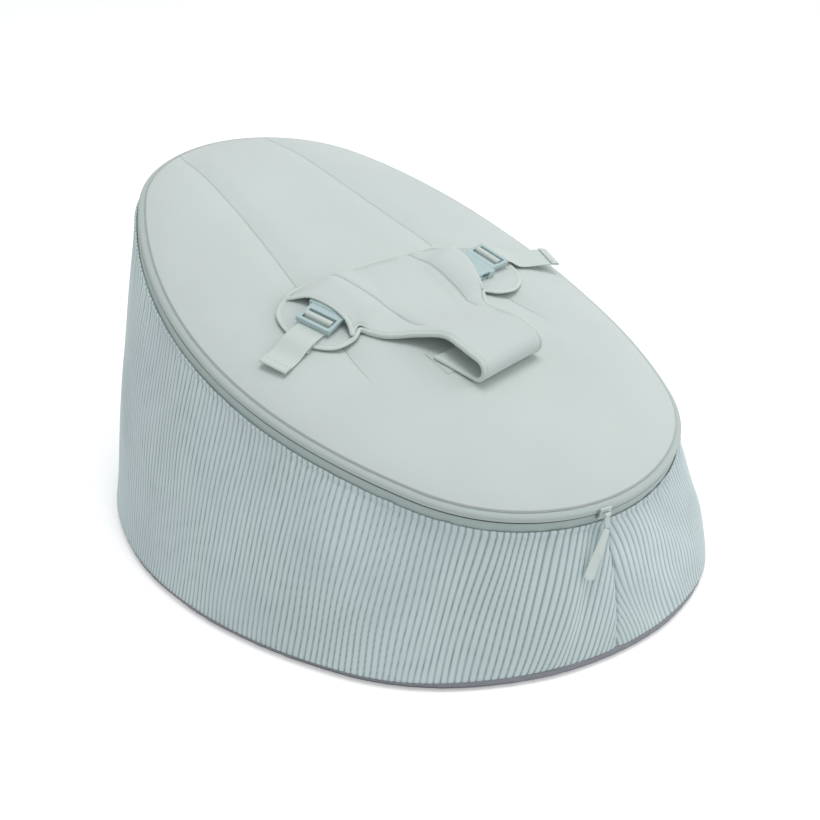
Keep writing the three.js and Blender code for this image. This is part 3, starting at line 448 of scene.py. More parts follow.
def slab(top, bottom):
    """Two faces of rows and columns of points made into one closed grid with round edges."""
    thickness = np.linalg.norm(top - bottom, axis=-1, keepdims=True)
    middle = (top + bottom) / 2

    def beyond(edge, neighbour, thick):
        return edge + unit(edge - neighbour) * thick / 2

    first = beyond(middle[0], middle[1], thickness[0])[None]
    last = beyond(middle[-1], middle[-2], thickness[-1])[None]
    top = np.concatenate([first, top, last])
    bottom = np.concatenate([first, bottom, last])
    middle = (top + bottom) / 2
    thickness = np.concatenate([thickness[:1], thickness, thickness[-1:]])
    left = beyond(middle[:, 0], middle[:, 1], thickness[:, 0])[:, None]
    right = beyond(middle[:, -1], middle[:, -2], thickness[:, -1])[:, None]
    return np.concatenate([left, top, right, bottom[:, ::-1]], 1)


def tube(line, normals, high, wide):
    """A rounded cord-like body along a line; high is its half height along the normals."""
    line = np.asarray(line, float)
    tangents = tangents_of(line)
    aside = unit(np.cross(tangents, normals))
    upward = unit(np.cross(aside, tangents))
    high = np.broadcast_to(np.asarray(high, float), len(line))
    wide = np.broadcast_to(np.asarray(wide, float), len(line))
    sides = 14
    angles = np.arange(sides) * 2 * math.pi / sides
    rings = (line[:, None] + aside[:, None] * (wide[:, None] * np.cos(angles))[..., None]
        + upward[:, None] * (high[:, None] * np.sin(angles))[..., None])
    caps = []
    for end, sign in ((0, -1), (-1, 1)):
        cap = []
        for share in (0.5, 0.8, 0.95, 1.0):
            size = math.sqrt(max(1 - share**2, 0.0004))
            step = tangents[end] * sign * share * min(high[end], wide[end])
            cap.append(line[end] + (rings[end] - line[end]) * size + step)
        caps.append(cap)
    return np.concatenate([np.array(caps[0][::-1]), rings, np.array(caps[1])])


def add_stitches(name, line, normals, slot, body, pitch=3.2, length=2.2, radius=0.22):
    """Short rounded threads in a row along a line on a surface."""
    positions = even(line, pitch)
    middle = (positions[:-1] + positions[1:]) / 2
    upward = unit(sample(normals, middle))
    along = unit(sample(line, positions[1:]) - sample(line, positions[:-1]))
    sides, steps = 6, 5
    around = np.arange(sides) * 2 * math.pi / sides
    travel = np.linspace(-1, 1, steps)[:, None]
    thick = np.sqrt(np.maximum(1 - travel**4, 0.02)) * radius
    template = [travel * length / 2 + 0 * around, thick * np.cos(around), thick * np.sin(around)]
    template = np.stack(template, -1).reshape(-1, 3)
    frames = np.stack([along, unit(np.cross(along, upward)), upward], 1)
    points = sample(line, middle)[:, None] + np.einsum("vk,nkd->nvd", template, frames)
    step, side = np.meshgrid(np.arange(steps - 1), np.arange(sides), indexing="ij")
    low, high, following = step * sides, (step + 1) * sides, (side + 1) % sides
    faces = np.stack([low + side, low + following, high + following, high + side], -1).reshape(-1, 4)
    offsets = np.arange(len(points)) * steps * sides
    every = (faces + offsets[:, None, None]).reshape(-1, 4)
    finish_piece(add_mesh(name, points.reshape(-1, 3), every), THREAD, body)


def blocks(name, boxes, place, voxel, soften):
    """Boxes of a moulded piece, joined into one body with softened edges. place turns points
    of the piece's own frame into the part's."""
    corners = [(x, y, z) for x in (0, 1) for y in (0, 1) for z in (0, 1)]
    square = np.array([(0, 1, 3, 2), (4, 6, 7, 5), (0, 4, 5, 1), (2, 3, 7, 6), (0, 2, 6, 4), (1, 5, 7, 3)])
    points = [[box[corner[k]][k] for k in range(3)] for box in boxes for corner in corners]
    faces = [square + number * len(corners) for number in range(len(boxes))]
    obj = add_mesh(name, points, np.concatenate(faces))
    remesh = obj.modifiers.new("join", "REMESH")
    configured(remesh, mode="VOXEL", voxel_size=voxel * MM, use_smooth_shade=True)
    configured(obj.modifiers.new("soften", "SMOOTH"), factor=0.5, iterations=soften)
    made = bpy.data.meshes.new_from_object(obj.evaluated_get(bpy.context.evaluated_depsgraph_get()))
    obj.modifiers.clear()
    obj.data = made
    made.vertices.foreach_set("co", (place(vertices_of(made) / MM) * MM).ravel())
    made.update()
    return obj


# Materials


def srgb(red, green, blue):
    shares = [v / 255 for v in (red, green, blue)]
    return (*[s / 12.92 if s <= 0.04045 else ((s + 0.055) / 1.055) ** 2.4 for s in shares], 1)


class Nodes:
    """Short calls for the nodes of a material or a world. An input is named with an underscore
    for each space, or numbered: i0, i1."""

    def __init__(self, owner):
        owner.use_nodes = True
        self.tree = owner.node_tree

    def put(self, inputs, values):
        for key, value in values.items():
            socket = inputs[int(key[1:]) if key[1:].isdigit() else key.replace("_", " ")]
            if isinstance(value, bpy.types.NodeSocket):
                self.tree.links.new(value, socket)
            else:
                socket.default_value = value

    def node(self, kind, settings=None, **inputs):
        made = configured(self.tree.nodes.new("ShaderNode" + kind), **(settings or {}))
        self.put(made.inputs, inputs)
        return made.outputs

    def math(self, operation, *values):
        inputs = {f"i{number}": value for number, value in enumerate(values)}
        return self.node("Math", {"operation": operation}, **inputs)[0]

    def plus(self, a, b):
        return self.math("ADD", a, b)

    def minus(self, a, b):
        return self.math("SUBTRACT", a, b)

    def times(self, a, b):
        return self.math("MULTIPLY", a, b)

    def fma(self, a, b, c):
        return self.math("MULTIPLY_ADD", a, b, c)

    def size(self, value):
        return self.math("ABSOLUTE", value)


class Finish(Nodes):
    """A material, with its shader's own sockets."""

    def __init__(self, name, **sockets):
        self.material = bpy.data.materials.new(name)
        super().__init__(self.material)
        self.shader = self.tree.nodes["Principled BSDF"]
        self.put(self.shader.inputs, sockets)

    def polynomial(self, value, coefficients):
        total = coefficients[0]
        for coefficient in coefficients[1:]:
            total = self.fma(value, total, coefficient)
        return total

    def ramp(self, value, low, high, start=0.0, end=1.0):
        ends = {"From_Min": low, "From_Max": high, "To_Min": start, "To_Max": end}
        return self.node("MapRange", {"interpolation_type": "SMOOTHSTEP"}, Value=value, **ends)["Result"]

    def mix(self, factor, a, b):
        settings = {"data_type": "RGBA", "clamp_factor": False}
        return self.node("Mix", settings, i0=factor, i6=a, i7=b)[2]

    def toned(self, tone, color):
        return self.mix(tone, (0, 0, 0, 1), color)

    def noise(self, vector, scale, detail=2.0, roughness=0.5):
        return self.node("TexNoise", None, Vector=vector, Scale=scale, Detail=detail, Roughness=roughness)[0]

    def wave(self, vector, pitch, direction, distortion=0.0):
        scale = 0.1 * math.pi / (pitch * MM)
        settings = {"bands_direction": direction}
        return self.node("TexWave", settings, Vector=vector, Scale=scale, Distortion=distortion)["Fac"]

    def weave(self, vector, pitch, distortion):
        across, along = (self.wave(vector, pitch, way, distortion) for way in "XY")
        return self.math("MAXIMUM", across, along)

    def uv(self):
        return self.node("UVMap", {"uv_map": "cloth"})[0]

    def place(self):
        return self.node("TexCoord")["Object"]

    def attribute(self, name):
        return self.node("Attribute", {"attribute_name": name})["Fac"]

    def bump(self, height, distance, strength=1.0, **below):
        return self.node("Bump", None, Height=height, Distance=distance * MM, Strength=strength, **below)[0]

    def done(self, color, normal, roughness):
        self.put(self.shader.inputs, {"Base_Color": color, "Normal": normal, "Roughness": roughness})
        return self.material


def woven(name, color, thread, depth=0.08, contrast=0.08, seam=None):
    """Plain-woven cloth: thread is the pitch of its threads in mm."""
    f = Finish(name, Sheen_Weight=0.2, Sheen_Roughness=0.5, Specular_IOR_Level=0.25)
    uv = f.uv()
    weave = f.weave(uv, thread, 0.4)
    slub = f.noise(uv, 1 / (thread * 4 * MM), 3)
    normal = f.bump(f.plus(weave, f.times(slub, 0.8)), depth, 0.6)
    threads = f.fma(weave, contrast * 0.7, 1 - contrast * 0.55)
    speckle = f.fma(slub, contrast * 0.6, 1 - contrast * 0.3)
    drift = f.fma(f.noise(f.place(), 9.0, 3), 0.1, 0.95)
    tone = f.times(f.times(threads, speckle), drift)
    # With a seam, the cloth sinks along it and takes painted shade there: a fifth darker where the seam's
    # value is 0, and more where it falls below.
    if seam:
        open_share = seam(f)
        normal = f.bump(open_share, 0.5, Normal=normal)
        tone = f.times(tone, f.fma(open_share, 0.2, 0.8))
    return f.done(f.toned(tone, color), normal, f.ramp(slub, 0.2, 0.8, 0.78, 0.92))


def dart_seam(f):
    """0 on the seat's long seams and its edge, 1 away from them, from the cover's coordinates. It sets the
    seams' bump and their painted shade.
    """
    x, y = f.attribute("cover_x"), f.attribute("cover_y")
    length = DART_BACK[1] - DART_FRONT[1]
    share = f.fma(y, -1 / length, DART_BACK[1] / length)
    slope = DART_FRONT[0] - DART_BACK[0] - DART_BOW * 4
    line = f.polynomial(share, (DART_BOW * 4, slope, DART_BACK[0]))
    distance = f.size(f.minus(f.size(x), line))
    left = f.ramp(y, DART_FRONT[1] - 2, DART_FRONT[1] + 40)
    darts = f.minus(1.0, f.times(left, f.ramp(distance, 0.2, 1.2, 0.8, 0.0)))
    # At the seat's edge the value falls below 0, so the painted shade is darker along its seam with the
    # tape.
    return f.minus(darts, f.ramp(f.attribute("edge"), 0.0, 1.0, 1.4, 0.0))


WING_SEAMS = [[(-60, 44), (-52, 28), (-45, 12), (-40, -8), (-37, -26), (-34, -45), (-29, -60)],
    [(46, 46), (49, 30), (52, 16), (53, 0), (51, -18), (49, -32), (48, -48)]]
WING_CURVES = [np.polyfit(*np.array(points).T[::-1], 3) for points in WING_SEAMS]


def wing_seam(f):
    """0 on the harness's two wing seams and 1 away from them, for their bump and their painted shade."""
    x, y = f.attribute("cover_x"), f.attribute("cover_y")
    lines = [f.polynomial(y, [float(c) for c in curve]) for curve in WING_CURVES]
    shares = [f.ramp(f.size(f.minus(x, line)), 0.2, 1.3) for line in lines]
    seam = f.minus(1.0, f.math("MINIMUM", *shares))
    return f.minus(1.0, f.times(f.ramp(y, -70.0, -62.0), seam))


def ribbed(name, ridge_color, valley_shade_color):
    """Corduroy: its ridges are in the mesh; here are the pile, its lie and painted shade that darkens the
    valleys.
    """
    f = Finish(name, Sheen_Weight=0.35, Sheen_Roughness=0.4, Specular_IOR_Level=0.15)
    wale, lie, ridge = (f.attribute(key) for key in ("wale", "lie", "ridge"))
    pile = f.noise(f.node("CombineXYZ", None, X=wale, Y=f.times(lie, 0.35))[0], 2.2, 3, 0.6)
    tufts = f.noise(f.node("CombineXYZ", None, X=wale, Y=lie)[0], 0.9, 2)
    nap = f.noise(f.place(), 11.0, 3)
    # Painted shade: the valleys take the darker colour and the ridges the lighter one.
    base = f.mix(f.ramp(ridge, 0.12, 0.9), valley_shade_color, ridge_color)
    cool = f.ramp(f.noise(f.place(), 7.0, 2), 0.4, 0.62)
    tinted = f.mix(cool, base, f.mix(0.22, base, srgb(198, 208, 222)))
    tone = f.times(f.fma(pile, 0.3, 0.85), f.fma(nap, 0.26, 0.87))
    normal = f.bump(f.plus(pile, f.times(tufts, 0.6)), 0.35, 0.8)
    return f.done(f.toned(tone, tinted), normal, f.ramp(pile, 0.2, 0.8, 0.85, 1.0))


def moulded(name, color, roughness, grain=0.02, coat=0.0):
    """Moulded or painted surface: fine grain, slight clouding, and a rubbed, uneven gloss."""
    f = Finish(name, Coat_Weight=coat, Coat_Roughness=0.25)
    place = f.place()
    tone = f.fma(f.noise(place, 60.0, 3), 0.08, 0.96)
    normal = f.bump(f.noise(place, 2600.0, 2), grain, 0.5)
    rubbed = f.ramp(f.noise(place, 240.0, 4, 0.6), 0.3, 0.7, roughness - 0.06, roughness + 0.08)
    return f.done(f.toned(tone, color), normal, rubbed)


def felted(name, color, dark, under):
    """The base's coarse heathered weave, with painted shade that darkens it to the colour under along its
    lowest edge.
    """
    f = Finish(name, Sheen_Weight=0.15, Sheen_Roughness=0.5, Specular_IOR_Level=0.2)
    uv = f.uv()
    speck = f.noise(uv, 900.0, 2, 0.7)
    tone = f.fma(f.noise(uv, 160.0, 3), 0.16, 0.92)
    colored = f.toned(tone, f.mix(f.ramp(speck, 0.35, 0.62), dark, color))
    # Painted shade: the near-black colour under is mixed in along the base's lowest edge, as far as the
    # attribute read here asks.
    colored = f.mix(f.ramp(f.attribute("painted_shade"), 0.0, 1.0, 0.0, 0.92), colored, under)
    normal = f.bump(f.plus(f.weave(uv, 1.3, 1.0), speck), 0.16, 0.8)
    return f.done(colored, normal, f.ramp(speck, 0.2, 0.8, 0.85, 0.97))


def beaded(name, color):
    """Small pale beads, for the filling and the wadding's tufts, with painted shade between them."""
    f = Finish(name, Sheen_Weight=0.2)
    cells = f.node("TexVoronoi", None, Vector=f.place(), Scale=260.0)["Distance"]
    # Painted shade: each cell is a fifth darker at its rim, in the gaps between the beads.
    colored = f.toned(f.ramp(cells, 0.1, 0.7, 1.0, 0.8), color)
    normal = f.bump(f.minus(1.0, cells), 1.2, 0.8)
    return f.done(colored, normal, f.ramp(cells, 0.0, 0.8, 0.55, 0.8))


SEAT = woven("seat_cloth", srgb(203, 212, 209), 0.55, seam=dart_seam)
HARNESS = woven("harness_cloth", srgb(202, 211, 208), 0.55)
SEAMED = woven("harness_upper_cloth", srgb(202, 211, 208), 0.55, seam=wing_seam)
EDGING = woven("edging_cloth", srgb(206, 215, 210), 0.8, 0.06, 0.06)
WEBBING = woven("webbing_weave", srgb(204, 214, 209), 1.1, 0.12, 0.08)
TAPE = woven("zip_tape_weave", srgb(176, 192, 188), 0.7, 0.1, 0.1)
UPPER_TAPE = woven("upper_tape_weave", srgb(186, 198, 194), 0.7, 0.1, 0.1)
LINER = woven("liner_cloth", srgb(228, 231, 229), 0.5)
# The second colour is the painted shade of the valleys between the ribs.
CORDUROY = ribbed("corduroy_pile", srgb(212, 227, 226), srgb(144, 162, 162))
# The base's last colour is the near black of its painted shade along the lowest edge.
BASE = felted("base_cloth", srgb(158, 161, 167), srgb(124, 127, 133), (0.012, 0.015, 0.02, 1))
THREAD = moulded("sewing_thread", srgb(203, 212, 207), 0.7, 0.05)
TEETH = moulded("zip_teeth", srgb(120, 134, 133), 0.45)
PAINTED = moulded("painted_metal", srgb(200, 211, 208), 0.35, 0.01, 0.3)
RUBBER = moulded("soft_rubber", srgb(208, 220, 215), 0.5, 0.03)
BUCKLE = moulded("buckle_plastic", srgb(174, 195, 197), 0.38, 0.02, 0.1)
BEADS = beaded("bead_filling", srgb(240, 241, 240))
WADDING = beaded("wadding_tufts", srgb(236, 237, 235))


def finish_piece(obj, material, body=None, node=None):
    """Gives a piece its material and its body, and hides the CAD node it stands for."""
    obj.data.materials.clear()
    obj.data.materials.append(material)
    if node:
        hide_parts(node)
    if body:
        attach(obj, body)
    return obj


def add_body(name, points, material, slot, body, node, fill=None, **form):
    """A closed piece over a grid of points."""
    obj = add_grid(name, points, closed=True, **form)
    return finish_piece(obj, material, body, node)


# Wall of corduroy, in two panels


def unrolled(tops, feet, start):
    """Flat places of the wall's upper and lower edges, rolled out both ways from start."""
    flat_top = np.zeros((len(tops), 2))
    flat_foot = np.zeros((len(tops), 2))
    flat_top[start] = (0, np.linalg.norm(tops[start] - feet[start]))

    def beside(flat_a, flat_b, a, b, point, side):
        """The flat place of a point that has its true distances to a and b."""
        along = flat_b - flat_a
        length = np.linalg.norm(along)
        from_a, from_b = np.linalg.norm(point - a), np.linalg.norm(point - b)
        share = (from_a**2 - from_b**2 + length**2) / (2 * length)
        off = math.sqrt(max(from_a**2 - share**2, 0))
        along = along / length
        return flat_a + along * share + np.array([along[1], -along[0]]) * off * side

    for step, side in ((1, -1), (-1, 1)):
        here = start
        while 0 <= here + step < len(tops):
            there = here + step
            top, foot = flat_top[here], flat_foot[here]
            flat_top[there] = beside(top, foot, tops[here], feet[here], tops[there], side)
            flat_foot[there] = beside(foot, flat_top[there], feet[here], tops[there], feet[there], -side)
            here = there
    return flat_top, flat_foot


# Rows of the wall's edges: how far out or in, how far down, and how much of the ribs shows
WALL_HEM = [(0.5, 9.0, 0), (0.5, 1.4, 0), (0.8, 0.4, 0.3), (1.4, 0.0, 0.7), (2.0, 0.3, 1),
    (2.3, 1.3, 1), (2.35, 3.5, 1)]
WALL_TUCK = [(0.4, 0.3, 0.7), (1.4, 0.7, 0.3), (3.0, 0.8, 0.0)]


def add_wall(name, node, from_turn, to_turn, seed, wander=1.0, lean=0.0, fold=0.0):
    """A panel of the wall. Near the front seam its ribs wander, and lean by the number given.
    fold is the height of the folds beside the zip's pull."""
    dense = np.linspace(from_turn, to_turn, 3001)
    column_step, row_count = 1.05, 74
    positions = even(wall_point(dense, 0.5 + 0 * dense), column_step)
    turns = np.interp(positions, np.arange(len(dense)), dense)
    seam_gap = 0.3 * GAP / RIM_FRONT[1]
    turns[0] += seam_gap
    turns[-1] -= seam_gap
    shares = np.linspace(0, 1, row_count)
    turn_grid, share_grid = np.meshgrid(turns, shares)
    wall = wall_point(turn_grid, share_grid)
    left_shown = smoothstep(turns, math.radians(-56), math.radians(-28))
    right_hidden = smoothstep(turns, math.radians(12), math.radians(36))
    droop = WALL_DROOP * (1 - left_shown * (1 - right_hidden))
    out_row = outward_of(turns)
    wall[..., 2] -= droop * share_grid**3
    wall += out_row * (droop * share_grid**6 * 1.1)[..., None]
    hem_rows = [to_part(rim_point(turns, offset, -HEM_TOP - down)) for offset, down, _ in WALL_HEM]
    tuck_rows = [wall[-1] - out_row * inward - np.array([0, 0, down]) for inward, down, _ in WALL_TUCK]
    base = np.concatenate([hem_rows, wall, tuck_rows])
    side = int(np.argmin(np.abs(np.abs(turns) - math.pi / 2)))
    flat_top, flat_foot = unrolled(wall[0], wall[-1], side)
    flat = lerp(flat_top[None], flat_foot[None], shares[:, None, None])
    upward = unit(flat_top - flat_foot)
    rim_way = tangents_of(flat_top)
    square = square_to(rim_way)
    square *= np.sign(np.sum(square * upward, -1, keepdims=True))
    from_front = np.abs(turns - WALL_SEAM_TURN)
    front_share = 1 - smoothstep(from_front, math.radians(15), math.radians(75))
    hem_way = square - 3 * lean * front_share[:, None] * rim_way
    hem_flat = [flat_top + hem_way * (HEM_DEPTH - down) for _, down, _ in WALL_HEM]
    tuck_flat = [flat_foot - upward * inward for inward, _, _ in WALL_TUCK]
    flat = np.concatenate([hem_flat, flat, tuck_flat])
    hem_shown, tuck_shown = ([row[2] for row in rows] for rows in (WALL_HEM, WALL_TUCK))
    shown = np.concatenate([hem_shown, np.ones(len(shares)), tuck_shown])[:, None]
    height = np.concatenate([np.zeros(len(WALL_HEM)), shares, np.ones(len(WALL_TUCK))])[:, None]

    wandering = 0.9 + wander * 2.4 * front_share
    shift = lumps(flat, seed, ((46, 62), wandering), ((110, 150), 2.0))
    shift += lean * flat[..., 1] * (1 - smoothstep(from_front, 0.05, 1.5))
    free = (4 * height * (1 - height)) ** 0.6
    slant = np.stack([flat[..., 0] + 0.5 * flat[..., 1], flat[..., 1]], -1)
    creased = 0.55 + wander * 0.9 * front_share
    folds = lumps(flat, seed + 2, ((90, 210), 2.2)) + lumps(slant, seed + 3, ((34, 90), creased))
    steps = np.linalg.norm(np.diff(wall[len(shares) // 2], axis=0), axis=1)
    reach = np.concatenate([[0], np.cumsum(steps)])
    to_fold = reach[-1] - reach - lerp(16, 50, height)
    folds = (folds + fold * (bell(to_fold - 17, 11) - 1.5 * bell(to_fold, 9))) * free
    gathers = field(flat, (8, 50), seed + 4) * 0.7 * bell(height, 0.1) * shown
    wale = flat[..., 0] + shift
    ridge = np.abs(np.sin(math.pi * (wale / WALE_PITCH))) ** WALE_ROUNDNESS
    to_seam = np.minimum(reach, reach[-1] - reach)
    seam = -sewn(to_seam, (1.5, 1.7), (0.8, 7))
    outward = np.broadcast_to(out_row, base.shape)
    normal = normals_of(base, outward)
    hem = slice(len(WALL_HEM))
    normal[hem] = unit(normal[hem] + outward[hem] * 0.2)
    normal[:2] = out_row
    offset = folds + gathers + seam * shown + WALE_DEPTH * (ridge - WALE_MIDDLE) * shown
    points = base + normal * offset[..., None]
    values = {"wale": wale, "lie": flat[..., 1], "ridge": ridge}
    obj = add_grid(name, points, cloth=flat, values=values, inside=(0, 0, 100))
    finish_piece(obj, CORDUROY, "base", node)


add_wall("corduroy_wall_right", "side_panel_right", WALL_SEAM_TURN, math.pi, seed=11)
add_wall("corduroy_wall_left", "side_panel_left", -math.pi, WALL_SEAM_TURN, seed=23, wander=0.25,
    lean=-0.1, fold=2.5)


# Grey base

# The base's edge from its inner floor round to its underside: offset and height
BASE_PROFILE = [(-60, 2.9), (-14, 2.7), (-6, 3.4), (-3.4, 5.5), (-2.9, 8.3), (-1.9, 9.3), (-0.6, 9.3),
    (0.5, 8.4), (1.2, 6.8), (1.3, 5.0), (0.7, 3.3), (-0.9, 1.9), (-3.2, 0.9), (-6.2, 0.3),
    (-10, 0.0), (-26, 0.0), (-70, 0.0), (-150, 0.0)]


def add_base():
    """A tray with a puffed edge."""
    turns = even_turns(footprint, 2.6)
    along = ring(footprint, turns, 0, 0)[:, :2]
    rows = []
    for offset, height in spline(BASE_PROFILE, 3):
        near_edge = bell(height - 5, 4) * (1 if offset > -8 else 0)
        pucker = lumps(along, 31, (9, 0.28), (60, 0.4)) * near_edge
        rows.append(ring(footprint, turns, offset + pucker, max(height, 0.0), BASE_WIDEST_Y))
    middle = np.array([0, BASE_WIDEST_Y, 0])
    cloth_top = (0, 0, BASE_PROFILE[0][1])
    inward = (0.65, 0.3, 0.004)
    inner = [lerp(middle + cloth_top, rows[0], share) for share in inward[::-1]]
    outer = [lerp(middle, rows[-1], share) for share in inward]
    points = np.array(inner + rows + outer)
    cloth = wrapped(points)[..., :2].copy()
    lip = slice(len(inner) + 3, len(inner) + len(rows) - 12)
    cloth[lip] = cloth_of(wrapped(points)[lip])
    # Painted shade along the base's lowest 7 mm, weaker on the front-right side that faces the lamps.
    facing = smoothstep(np.cos(turns - math.radians(20)), 0.42, 0.82)
    painted_shade = (1 - smoothstep(points[..., 2], 1.0, 7.0)) * lerp(1, 0.4, facing)
    form = {"cloth": cloth, "values": {"painted_shade": painted_shade}, "inside": (0, 0, 5)}
    add_body("grey_base", points, BASE, "base_fabric", "base", "base_panel", fill=0.4, **form)


add_base()


# Zip: tapes, teeth, stops, slider and pull


def tape_section(low, high):
    thick = TAPE_THICKNESS
    edge = 0.35
    return np.array([(0, low + edge), (0, lerp(low, high, 0.3)), (0, lerp(low, high, 0.7)),
        (0, high - edge), (-edge, high), (edge - thick, high), (-thick, high - edge),
        (-thick, (low + high) / 2), (-thick, low + edge), (edge - thick, low), (-edge, low)])


def add_tape(name, section, seed, material, body, node):
    """A tape all round the rim with a closed section [offset, height]."""
    wobble = field(zip_places, 80, seed) * 0.15
    rows = [to_part(rim_point(zip_turns, offset + wobble, height)) for offset, height in section]
    add_body(name, np.array([*rows, rows[0]]), material, "tape_fabric", body, node)


zip_turns = even_turns(rim, 2.4)
zip_places = ring(rim, zip_turns, 0, 0)[:, :2]
lower_band = tape_section(-BAND_TOP - TAPE_TUCK, -TAPE_GAP / 2)
upper_path = spline([(0, 0.6), (0, 3.2), (-0.8, 5.0), (-2.6, 6.2), (-5.2, 6.9), (-10.5, 7.5)], 3)
upper_inner = upper_path + square_to(tangents_of(upper_path)) * TAPE_THICKNESS
upper_band = np.concatenate([upper_path, upper_inner[::-1]])
add_tape("zip_tape_lower", lower_band, 41, TAPE, "base", "lower_zip_tape")
add_tape("zip_tape_upper", upper_band, 42, UPPER_TAPE, "seat_cover", "upper_zip_tape")


def add_teeth(name, height, body, node, start):
    """A plastic coil: one thin wire wound round the zip line, two millimetres a turn."""
    pitch, wire, radius, per_turn, sides = 2.0, 0.3, 0.72, 6, 4
    turns = even_turns(rim, pitch / per_turn)
    turns = turns[: len(turns) // per_turn * per_turn]
    angle = np.arange(len(turns)) * 2 * math.pi / per_turn + start
    centre = rim_point(turns, -COIL_OFFSET + radius * np.cos(angle), height + radius * np.sin(angle))
    tangent = unit(np.roll(centre, -1, 0) - np.roll(centre, 1, 0))
    outward = rim_point(turns, 1.0, height) - rim_point(turns, 0.0, height)
    aside = unit(np.cross(tangent, outward))
    upward = np.cross(aside, tangent)
    around = [k * 2 * math.pi / sides for k in range(sides + 1)]
    rows = [to_part(centre + wire * (aside * math.cos(a) + upward * math.sin(a))) for a in around]
    add_body(name, np.array(rows), TEETH, "coil_plastic", body, node)


add_teeth("zip_coil_lower", -COIL_HEIGHT, "base", "lower_zip_coil", 0)
add_teeth("zip_coil_upper", COIL_HEIGHT, "seat_cover", "upper_zip_coil", math.pi)

for node in ("lower_zip_stop", "upper_zip_stop", "zip_slider", "pull_link"):
    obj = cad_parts[node]
    obj.data.materials.clear()
    obj.data.materials.append(TEETH if node.endswith("stop") else PAINTED)
    bevel = obj.modifiers.new("edges", "BEVEL")
    configured(bevel, width=0.3 * MM, segments=3, limit_method="ANGLE", angle_limit=math.radians(40))
    bevel.harden_normals = True
    obj.data.polygons.foreach_set("use_smooth", np.ones(len(obj.data.polygons), bool))


def add_pull_tab():
    """A soft tab: the CAD tab's outline, with a crowned face and a shallow bare recess."""
    cloud = vertices_of(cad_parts["pull_tab"].data) / MM
    centre = cloud.mean(0)
    axes = np.linalg.svd(cloud - centre, full_matrices=False)[2]
    if axes[0, 2] > 0:
        axes[0] = -axes[0]
    local = (cloud - centre) @ axes.T
    low, high = local.min(0), local.max(0)
    length, end_half, thick = (high - low) * (1, 1.18 / 2, 1 / 2)
    run = np.linspace(0, 1, 61)
    round_end = np.clip((1 - run) * length / 4.2, 0, 1)
    round_top = np.clip(run * length / 1.6, 0, 1)
    half = lerp(3.5, end_half, smoothstep(run, -0.15, 1.0)) * np.sqrt(1 - (1 - round_end) ** 2.6)
    half = half * (0.6 + 0.4 * np.sqrt(1 - (1 - round_top) ** 2))
    across = np.sin(np.linspace(-math.pi / 2, math.pi / 2, 25))
    edge = np.sqrt(np.maximum(1 - np.abs(across) ** 5, 0))
    hollow = 0.35 * (1 - smoothstep(np.abs(across), 0.5, 0.62))
    rows = []
    for share, width in zip(run, half):
        end_edge = math.sqrt(max(1 - (1 - min((1 - share) * length / 1.2, 1)) ** 2, 0))
        start_edge = math.sqrt(max(1 - (1 - min(share * length, 1)) ** 2, 0))
        body = thick * edge * end_edge * start_edge
        recess = hollow * smoothstep(share, 0.5, 0.54) * (1 - smoothstep(share, 0.86, 0.9))
        along = 0 * across + low[0] + share * length
        front = np.stack([along, across * width, body - recess], -1)
        back = np.stack([along, across * width, -body], -1)[::-1]
        rows.append(np.concatenate([front, back[1:-1]]))
    points = np.array(rows) + (low + high) / 2 * (0, 1, 1)
    add_body("pull_tab_soft", centre + points @ axes, RUBBER, "tab_rubber", "pull", "pull_tab")


add_pull_tab()


# Seat cover: a padded top with two long darts


def dart_x(y):
    """X of the right dart. The left one mirrors it."""
    share = (DART_BACK[1] - y) / (DART_BACK[1] - DART_FRONT[1])
    straight = lerp(DART_BACK[0], DART_FRONT[0], share)
    return straight - DART_BOW * 4 * share * (1 - share)


def dart_distance(x, y):
    """Distance to the nearer dart, and how much of the dart's depth is left there."""
    past = np.maximum(DART_FRONT[1] - y, 0)
    across = (np.abs(x) - dart_x(y)) * 0.985
    left = smoothstep(y, DART_FRONT[1] - 6, DART_FRONT[1] + 60)
    return np.hypot(across, past), left


def seat_form(x, y):
    """How far the padded cloth stands off the plain crown."""
    distance, left = dart_distance(x, y)
    places = np.stack([x, y], -1)
    line_share = y / 9
    pucker_height, pucker_width = 0.22, 6
    puckers = np.sin(line_share + 2 * np.sin(line_share * 0.37)) * pucker_height
    puckers = puckers * bell(distance - pucker_width, pucker_width)
    sunk = sewn(distance, (3.0, 15), (0.8, 2.4))
    return (puckers - sunk) * left + lumps(places, 51, (150, 0.9), (48, 0.28))


# Soft creases of the seat: two ends of each, its width and its depth
CREASES = [((161, -46), (176, -64), 5, 1.1), ((70, -150), (96, -132), 8, 0.9),
    ((12, -186), (62, -176), 12, 0.8), ((-120, -60), (-60, -96), 14, 0.7),
    ((-150, 60), (-120, 20), 16, 0.5)]


def crease_depth(x, y):
    """The seat's soft creases, as a height below 0."""
    total = 0 * x
    for (x0, y0), (x1, y1), width, depth in CREASES:
        run = np.array([x1 - x0, y1 - y0])
        length = np.linalg.norm(run)
        along = ((x - x0) * run[0] + (y - y0) * run[1]) / length
        across = ((x - x0) * run[1] - (y - y0) * run[0]) / length
        total -= depth * bell(across, width) * bell(along - length / 2, length / 1.6)
    return total


# The turned-in edge of the seat panel: steps outward and drops
SEAT_ROLL = [(0.5, -0.3), (0.75, -0.8), (0.7, -1.4), (0.3, -1.9), (-0.6, -2.2), (-8, -2.4)]


